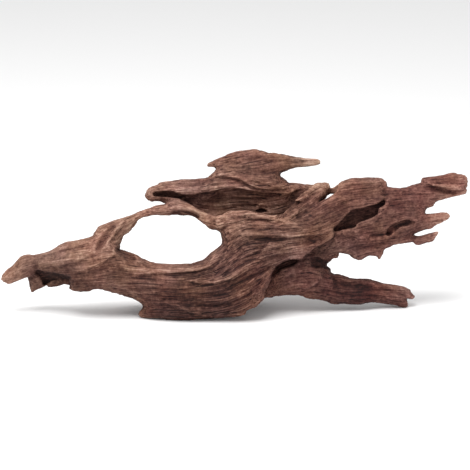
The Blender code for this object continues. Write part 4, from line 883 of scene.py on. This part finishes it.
def mesh_of(name, points, faces):
    """A mesh of faces that all have the same number of corners."""
    mesh = bpy.data.meshes.new(name)
    mesh.vertices.add(len(points))
    mesh.vertices.foreach_set("co", points.astype(np.float32).ravel())
    mesh.loops.add(faces.size)
    mesh.loops.foreach_set("vertex_index", faces.astype(np.int32).ravel())
    mesh.polygons.add(len(faces))
    mesh.polygons.foreach_set("loop_start", np.arange(0, faces.size, faces.shape[1],
                                                      dtype=np.int32))
    mesh.update(calc_edges=True)
    return mesh


def largest_shell(bm):
    """Deletes every loose scrap and sealed hollow, and keeps the largest shell."""
    left, shells = set(bm.verts), []
    while left:
        front = [left.pop()]
        shell = set(front)
        while front:
            vert = front.pop()
            for edge in vert.link_edges:
                other = edge.other_vert(vert)
                if other not in shell:
                    shell.add(other)
                    front.append(other)
        left -= shell
        shells.append(shell)
    shells.sort(key=len)
    scraps = [vert for shell in shells[:-1] for vert in shell]
    bmesh.ops.delete(bm, geom=scraps, context="VERTS")


def stand_flat(bm):
    """Cuts the wood off at the floor, so that it stands on small flat feet."""
    bmesh.ops.bisect_plane(bm, geom=bm.verts[:] + bm.edges[:] + bm.faces[:], dist=1e-6,
                           plane_co=(0, 0, 0), plane_no=(0, 0, 1), clear_inner=True)
    rim = [edge for edge in bm.edges if edge.is_boundary]
    bmesh.ops.holes_fill(bm, edges=rim)
    bmesh.ops.triangulate(bm, faces=[f for f in bm.faces if len(f.verts) > 3])


# How dark the furrows of each width are drawn, which is the dark of the grain in their grooves and
# also painted shade there, how much narrower than they are cut, what is taken off between them,
# which paints their ridges lighter, and how much shade is painted into the pressed creases and sunk
# ledges and how much highlight onto the raised ridges and proud ledges.
DARKNESS = (0.08, 0.25, 0.8)
DRAWN_WIDTH = 0.7
DRAWN_GAP = 0.2
CREASE_SHADE_AND_HIGHLIGHT = 0.5

# How far round a place its narrow and its wide hollows are felt, for the shade painted into hollows
# and the highlights painted on ridges, and how softly the weathered tones and painted shade of the
# spots change.
NEAR_REACH = 2.5
WIDE_REACH = 9.0
TONE_AND_SHADE_REACH = 12.0

# How clearly the fibres show: at the least, with the grain's level, and up to which level.
FIBRE_LEAST = 0.3
FIBRE_SWING = 0.5
FIBRE_TOP = 1.2

# How light the wood is near each (x, h, lightness) spot: the weathered tones of its parts, with
# shade painted on its undersides, under its overhangs and on thin lips, and highlights painted on
# some rims.
TONE_SPOTS_AND_PAINTED_SHADE = (
    (-222, 48, 0.08), (-201, 37, -0.2), (-180, 33, -0.4), (-160, 37, -0.2), (-175, 69, 0.14),
    (-145, 59, 0.18), (-120, 81, 0.24), (-106, 55, -0.1), (-108, 38, 0.06), (-95, 57, 0.16),
    (-68, 55, 0.16), (-115, 95, 0.12), (-70, 113, 0.16), (-70, 120, -0.1), (-60, 137, 0.14),
    (-33, 117, 0.05), (-55, 31, -0.16), (-62, 11, -0.2), (-20, 16, -0.14), (-4, 45, -0.2),
    (-20, 64, 0.0), (-12, 84, -0.1), (-8, 96, 0.32), (0, 102, 0.24), (-8, 147, 0.1),
    (-15, 157, -0.06), (15, 152, 0.0), (52, 155, -0.04), (42, 138, -0.14), (15, 120, 0.16),
    (48, 118, 0.3), (15, 61, -0.12), (26, 50, 0.05), (32, 86, -0.12), (40, 105, 0.36),
    (80, 160, 0.24), (74, 123, 0.0), (90, 127, 0.28), (62, 107, 0.1), (75, 104, -0.16),
    (93, 113, -0.32), (95, 90, 0.12), (60, 77, 0.18), (88, 60, -0.1), (70, 47, -0.06),
    (60, 40, -0.05), (36, 30, -0.08), (115, 34, -0.16), (118, 20, -0.44), (168, 27, 0.12),
    (168, 16, -0.32), (124, 92, -0.12), (135, 81, -0.06), (125, 141, 0.1), (130, 134, -0.16),
    (148, 138, 0.1), (155, 125, -0.16), (150, 112, 0.0), (180, 116, 0.08), (180, 127, -0.06),
    (190, 82, -0.14), (197, 102, 0.16), (205, 138, -0.1), (220, 127, 0.08),
)

# How far the wood's hue turns near each (x, h, turn) spot, from purple to ochre.
HUES = (
    (-200, 55, 0.004), (-110, 90, 0.002), (-60, 20, 0.0), (0, 60, 0.0), (0, 100, 0.002),
    (50, 105, 0.004), (20, 155, 0.0), (85, 158, 0.008), (-60, 132, -0.002), (120, 125, -0.005),
    (200, 135, -0.007), (150, 85, -0.008), (200, 100, -0.008), (60, 40, -0.008),
    (150, 30, -0.008),
)

# How much shade is painted into each pit; the others are left bare.
PIT_SHADES = {
    "beak hollow": 0.14, "beak diagonal": 0.2, "hole corner": 0.15, "prong slot": 0.14,
    "trough hole": 0.5, "knob pocket": 0.18, "arch underside": 0.35, "crescent": 0.14,
    "stub hole": 0.1,
}
PIT_SHADE_EDGE = 2.5  # how wide the painted shade's soft edge is
PIT_SHADE_RIM = 0.3  # its share on the pit's outline
PIT_SHADE_FULL = 2.0  # how far behind the front face it is still full
PIT_SHADE_END = 6.0  # how far behind it there is none left

# Streaks along the fibres: (length, spacing, detail, roughness), with both sizes in millimetres.
# Fibres of hardwood are a tenth as wide, and are drawn as coarse as they need to show.
STREAKS = {
    "broad": (120, 9.0, 2.0, 0.6), "streaks": (60, 2.6, 4.0, 0.68), "fine": (26, 1.2, 3.0, 0.75),
    "splits": (30, 1.9, 1.0, 0.6), "slits": (34, 1.3, 1.0, 0.6),
}

# Cracks are the low ends of two of them: all there under the first value, gone over the second.
CRACKS = {"splits": (0.30, 0.42), "slits": (0.32, 0.42)}

# Round patches: (how many to a metre, roughness).
PATCHES = {"cloud": (30.0, 0.6), "mottle": (260.0, 0.7), "blush": (40.0, 0.6), "rich": (22.0, 0.6)}
PATCH_DETAIL = 4.0

# How much each pattern lightens the wood, and how much it raises it. The hollows' weights paint
# shade into hollows and highlights onto ridges, the furrow's weight paints shade into the creases,
# and the spots' weight carries their painted shade and highlights.
STREAKS_LIGHTNESS = {"broad": 0.2, "streaks": 0.4, "fine": 2.0, "splits": -0.15, "slits": -0.45}
LIGHTNESS = {
    "streaked": 1.0, "cloud": 0.4, "mottle": 1.0, "furrow": -0.08, "near_shade_and_highlight": -0.65,
    "wide_shade_and_highlight": -0.6, "tone_and_painted_shade": 1.0,
}
STREAKS_RELIEF = {"streaks": 0.9, "fine": 0.6, "splits": -0.35, "slits": -0.25}
RELIEF = {"raised": 1.0, "mottle": 0.5}

# Driftwood from its cracks and painted shade to its bleached ridges and painted highlights.
COLOURS = ((0.0, "#200b08"), (0.25, "#40221b"), (0.5, "#5f3e33"), (0.75, "#835d4e"),
           (1.0, "#a98573"))


def sampled(grid, axes, points):
    """The grid's value at each point, between its nearest places."""
    places = []
    for k in range(grid.ndim):
        at = (points[:, k] - axes[k][0]) / (axes[k][1] - axes[k][0])
        at = np.clip(at, 0, grid.shape[k] - 1.001)
        low = at.astype(int)
        places.append((low, at - low))
    total = np.zeros(len(points))
    for corner in range(2**grid.ndim):
        share, where = np.ones(len(points)), []
        for k, (low, part) in enumerate(places):
            high = corner >> k & 1
            share = share * (part if high else 1 - part)
            where.append(low + high)
        total += share * grid[tuple(where)]
    return total


def settled(points, axes, field):
    """The points moved onto the surface where the field is zero, by at most half a cell."""
    cell, flattest = cell_of(axes), 0.05
    slope = np.zeros(points.shape)
    for axis in range(3):
        step = np.eye(3)[axis] * 0.5 * cell
        slope[:, axis] = (sampled(field, axes, points + step)
                          - sampled(field, axes, points - step)) / cell
    value = sampled(field, axes, points)
    move = -value / np.maximum((slope**2).sum(1), flattest)
    reach = np.linalg.norm(slope, axis=1) * np.abs(move)
    move = move * np.minimum(1.0, 0.5 * cell / np.maximum(reach, 1e-9))
    return points + slope * move[:, None]


def finish_of(points, axes, field, pressed, grain):
    """What the finish reads at each point: grain, furrow with its painted shade, the hollows'
    painted shade and highlights, the spots' weathered tones with their painted shade and
    highlights, and hue.
    """
    along, across, level, lie = [sampled(grid, axes, points) for grid in grain]
    behind = points[:, 2] - lie
    drawn = furrows(along, across, behind, DARKNESS, DRAWN_WIDTH, DRAWN_GAP)
    cell = cell_of(axes)
    # How solid the wood is round each point: this paints shade where the point lies in a hollow and
    # a highlight where it stands on a ridge.
    solid = np.clip(0.5 - field / cell, 0, 1).astype(np.float32)
    near, wide = [sampled(blurred(solid, reach / cell), axes, points) - 0.5
                  for reach in (NEAR_REACH, WIDE_REACH)]
    # The weathered tones of the parts with their painted shade and highlights; the pits' painted
    # shade is taken off below.
    tone_and_painted_shade = through_spots(TONE_SPOTS_AND_PAINTED_SHADE, points[:, 0], points[:, 1], reach=TONE_AND_SHADE_REACH)
    depth = points[:, 2] - sampled(front_face(field, axes), axes, points)
    seen = np.clip((PIT_SHADE_END - depth) / (PIT_SHADE_END - PIT_SHADE_FULL), 0, 1)
    # Shade painted into the listed pits, full near the front face and gone further behind it.
    pits = {**PITS, **BACK_PITS}
    for name, pit_shade in PIT_SHADES.items():
        inside = depth_inside(pits[name][2], points[:, 0], points[:, 1])
        tone_and_painted_shade -= pit_shade * seen * np.clip(PIT_SHADE_RIM + inside / PIT_SHADE_EDGE, 0, 1)
    return {
        "grain": np.stack([along, across, behind], 1),
        "fibre": FIBRE_LEAST + FIBRE_SWING * np.clip(level, 0, FIBRE_TOP),
        # The furrows' dark grain and painted shade, with shade painted into the pressed creases and
        # highlights painted on the raised ridges.
        "furrow": drawn * level + CREASE_SHADE_AND_HIGHLIGHT * sampled(pressed, axes, points),
        "near_shade_and_highlight": near,
        "wide_shade_and_highlight": wide,
        "tone_and_painted_shade": tone_and_painted_shade,
        "hue": through_spots(HUES, points[:, 0], points[:, 1]),
    }


def placed(name, data):
    """A new object in the scene."""
    obj = bpy.data.objects.new(name, data)
    bpy.context.scene.collection.objects.link(obj)
    return obj


def aim(obj, place, way):
    """Puts a camera or a lamp at a place and turns it to look that way."""
    obj.location = place
    obj.rotation_mode = "QUATERNION"
    obj.rotation_quaternion = way.to_track_quat("-Z", "Y")


def new_material(name):
    """(material, tree, shader) of a new material."""
    material = bpy.data.materials.new(name)
    material.use_nodes = True
    return material, material.node_tree, material.node_tree.nodes["Principled BSDF"]


def add(tree, kind, inputs=(), **settings):
    """Adds a node with its settings, and each input's value or the socket that feeds it."""
    node = tree.nodes.new(kind)
    for name, value in settings.items():
        setattr(node, name, value)
    for key, value in dict(inputs).items():
        if isinstance(value, bpy.types.NodeSocket):
            tree.links.new(value, node.inputs[key])
        else:
            node.inputs[key].default_value = value
    return node


def hex_colour(code):
    """An sRGB hex colour as linear red, green, blue and alpha."""
    parts = [int(code[i:i + 2], 16) / 255 for i in (1, 3, 5)]
    return tuple(c / 12.92 if c < 0.04045 else ((c + 0.055) / 1.055) ** 2.4 for c in parts) + (1,)


def combined(tree, sockets, weights, start=0.0):
    """The sum of the named sockets times their weights."""
    total = start
    for name, weight in weights.items():
        total = add(tree, "ShaderNodeMath", {0: sockets[name], 1: weight, 2: total},
                    operation="MULTIPLY_ADD").outputs[0]
    return total


def fibre_relief(finish):
    """The tree that raises fine fibres along the grain of the wood."""
    tree = bpy.data.node_groups.new("fibre relief", "GeometryNodeTree")
    sockets = (("Wood", "Geometry"), ("Spacing", "Float"), ("Length", "Float"),
               ("Depth", "Float"), ("Seed", "Float"), ("Finish", "Material"))
    for name, kind in sockets:
        tree.interface.new_socket(name, in_out="INPUT", socket_type="NodeSocket" + kind)
    tree.interface.new_socket("Wood", in_out="OUTPUT", socket_type="NodeSocketGeometry")
    given = add(tree, "NodeGroupInput").outputs
    grain = add(tree, "GeometryNodeInputNamedAttribute", {"Name": "grain"},
                data_type="FLOAT_VECTOR").outputs[0]
    steps = add(tree, "ShaderNodeCombineXYZ", {0: given["Length"], 1: given["Spacing"],
                                               2: given["Spacing"]}).outputs[0]
    place = add(tree, "ShaderNodeVectorMath", {0: grain, 1: steps}, operation="DIVIDE").outputs[0]
    wave = add(tree, "ShaderNodeTexNoise", {"Vector": place, "W": given["Seed"], "Scale": 1.0,
                                            "Detail": 2.0, "Roughness": 0.6},
               noise_dimensions="4D").outputs[0]
    off = add(tree, "ShaderNodeMath", {0: wave, 1: 0.5}, operation="SUBTRACT").outputs[0]
    off = add(tree, "ShaderNodeMath", {0: off}, operation="ABSOLUTE").outputs[0]
    groove = add(tree, "ShaderNodeMapRange", {"Value": off, "From Min": 0.0, "From Max": 0.2,
                                              "To Min": -1.0, "To Max": 0.5},
                 interpolation_type="SMOOTHSTEP").outputs[0]
    out = add(tree, "ShaderNodeMath", {0: groove, 1: given["Depth"]},
              operation="MULTIPLY").outputs[0]
    normal = add(tree, "GeometryNodeInputNormal").outputs[0]
    offset = add(tree, "ShaderNodeVectorMath", {0: normal, "Scale": out},
                 operation="SCALE").outputs[0]
    moved = add(tree, "GeometryNodeSetPosition", {"Geometry": given["Wood"],
                                                  "Offset": offset}).outputs[0]
    whole = add(tree, "GeometryNodeRealizeInstances", {0: moved}).outputs[0]
    dressed = add(tree, "GeometryNodeSetMaterial", {"Geometry": whole,
                                                    "Material": given["Finish"]}).outputs[0]
    add(tree, "NodeGroupOutput", {0: dressed})
    return tree


def with_fibres(obj, finish):
    """Runs the fibre relief over the object and keeps the result as its plain mesh."""
    tree = fibre_relief(finish)
    modifier = obj.modifiers.new("fibres", "NODES")
    modifier.node_group = tree
    values = {"Spacing": 4.2, "Length": 60.0, "Depth": 0.6 * UNIT, "Seed": float(SEED),
              "Finish": finish}
    for item in tree.interface.items_tree:
        if item.in_out == "INPUT" and item.name in values:
            modifier[item.identifier] = values[item.name]
    graph = bpy.context.evaluated_depsgraph_get()
    made = bpy.data.meshes.new_from_object(obj.evaluated_get(graph), preserve_all_data_layers=True,
                                           depsgraph=graph)
    obj.modifiers.clear()
    old, obj.data = obj.data, made
    bpy.data.meshes.remove(old)


def wood_patterns(tree):
    """Every socket that the finish is mixed from, by name: what the mesh tells, the streaks along
    the fibres, the cracks and the round patches."""
    sockets = {}
    for name in ("grain", "fibre", "furrow", "near_shade_and_highlight", "wide_shade_and_highlight", "tone_and_painted_shade", "hue"):
        node = add(tree, "ShaderNodeAttribute", attribute_name=name)
        sockets[name] = node.outputs["Vector" if name == "grain" else "Fac"]
    for name, (length, spacing, detail, roughness) in STREAKS.items():
        place = add(tree, "ShaderNodeMapping", {"Vector": sockets["grain"],
                    "Scale": (1 / length, 1 / spacing, 1 / spacing)}, vector_type="POINT")
        sockets[name] = add(tree, "ShaderNodeTexNoise", {"Vector": place.outputs[0], "Scale": 1.0,
                            "Detail": detail, "Roughness": roughness}).outputs[0]
    for name, (full, gone) in CRACKS.items():
        sockets[name] = add(tree, "ShaderNodeMapRange", {"Value": sockets[name],
                            "From Min": full, "From Max": gone, "To Min": 1.0, "To Max": 0.0},
                            interpolation_type="SMOOTHSTEP").outputs[0]
    spot = add(tree, "ShaderNodeTexCoord").outputs["Object"]
    for name, (count, roughness) in PATCHES.items():
        sockets[name] = add(tree, "ShaderNodeTexNoise", {"Vector": spot, "Scale": count,
                            "Detail": PATCH_DETAIL, "Roughness": roughness}).outputs[0]
    for name, weights, start in (("streaked", STREAKS_LIGHTNESS, -1.3),
                                 ("raised", STREAKS_RELIEF, 0.0)):
        mixed = combined(tree, sockets, weights, start)
        sockets[name] = add(tree, "ShaderNodeMath", {0: mixed, 1: sockets["fibre"]},
                            operation="MULTIPLY").outputs[0]
    return sockets


def wood_colour(tree, sockets):
    """The colour for how light the wood is, turned a little in hue and richness by patches."""
    ramp = add(tree, "ShaderNodeValToRGB", {"Fac": combined(tree, sockets, LIGHTNESS, start=-0.22)})
    for place, _ in COLOURS[1:-1]:
        ramp.color_ramp.elements.new(place)
    for element, (place, code) in zip(ramp.color_ramp.elements, COLOURS):
        element.position, element.color = place, hex_colour(code)
    hue = combined(tree, sockets, {"hue": 1.0, "blush": 0.04}, start=0.48)
    richness = combined(tree, sockets, {"rich": 0.5}, start=0.72)
    return add(tree, "ShaderNodeHueSaturation", {"Hue": hue, "Saturation": richness,
                                                 "Color": ramp.outputs[0]}).outputs[0]


def weathered_wood():
    """Water worn hardwood, brushed by sand: dull, streaked along the fibres, nearly black in its
    cracks and bleached on its ridges, with shade painted into its hollows, creases and pits and
    highlights painted on its ridges."""
    material, tree, shader = new_material("weathered driftwood")
    sockets = wood_patterns(tree)
    bump = add(tree, "ShaderNodeBump", {"Height": combined(tree, sockets, RELIEF),
                                        "Strength": 1.0, "Distance": 0.0014})
    tree.links.new(wood_colour(tree, sockets), shader.inputs["Base Color"])
    tree.links.new(combined(tree, sockets, {"streaks": 0.25}, start=0.7),
                   shader.inputs["Roughness"])
    tree.links.new(bump.outputs[0], shader.inputs["Normal"])
    shader.inputs["Specular IOR Level"].default_value = 0.25
    return material


def driftwood():
    """The whole piece of wood: skinned, told its finish, raised in fibres and stood on its feet."""
    axes, field, pressed, grain = wood_field(CELL)
    points, quads = skin(mend(field, CELL), axes)
    points = settled(points, axes, field)
    mesh = mesh_of("wood", to_world(points), quads)
    for name, values in finish_of(points, axes, field, pressed, grain).items():
        kind = "FLOAT_VECTOR" if values.ndim == 2 else "FLOAT"
        layer = mesh.attributes.new(name, kind, "POINT")
        layer.data.foreach_set("vector" if values.ndim == 2 else "value",
                               values.astype(np.float32).ravel())
    obj = placed("weathered_driftwood", mesh)
    with_fibres(obj, weathered_wood())
    bm = bmesh.new()
    bm.from_mesh(obj.data)
    largest_shell(bm)
    stand_flat(bm)
    bm.to_mesh(obj.data)
    bm.free()
    obj.data.shade_smooth()
    return obj


def floor():
    """A plain pale studio floor."""
    side = 6.0
    corners = [(-side, -side, 0), (side, -side, 0), (side, side, 0), (-side, side, 0)]
    mesh = bpy.data.meshes.new("floor")
    mesh.from_pydata(corners, [], [(0, 1, 2, 3)])
    material, _, shader = new_material("matt white paper")
    shader.inputs["Base Color"].default_value = hex_colour("#f4f4f4")
    shader.inputs["Roughness"].default_value = 0.9
    mesh.materials.append(material)
    return placed("floor", mesh)


def camera():
    """A long lens at the photograph's angle, with the wood from side to side of the frame."""
    lens = bpy.data.cameras.new("camera")
    lens.lens, lens.sensor_width = 200.0, 36.0
    shown, middle_height = 470.0, 86.0
    away = shown * UNIT * lens.lens / lens.sensor_width
    back = Vector((0, -math.cos(TILT), math.sin(TILT)))
    centre = Vector(to_world(np.array([[0.0, middle_height, 0.0]]))[0])
    lens.clip_end = 50.0
    obj = placed("camera", lens)
    aim(obj, centre + back * away, -back)
    bpy.context.scene.camera = obj


def soft_box(name, place, size, power):
    """A square light that faces the middle of the floor."""
    lamp = bpy.data.lights.new(name, "AREA")
    lamp.size, lamp.energy = size, power
    aim(placed(name, lamp), place, -Vector(place))


def light():
    """A white room with one large light over the wood and a little before it."""
    world = bpy.data.worlds.new("white room")
    bpy.context.scene.world = world
    world.use_nodes = True
    background = world.node_tree.nodes["Background"]
    background.inputs["Color"].default_value = hex_colour("#ffffff")
    background.inputs["Strength"].default_value = 0.75
    soft_box("overhead soft box", (-0.3, -0.5, 1.6), size=1.0, power=30.0)
    bpy.context.scene.view_settings.view_transform = "Standard"


def main():
    """Builds the wood in its studio."""
    wood = driftwood()
    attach(wood, "root")
    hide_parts("driftwood")
    floor()
    camera()
    light()


main()
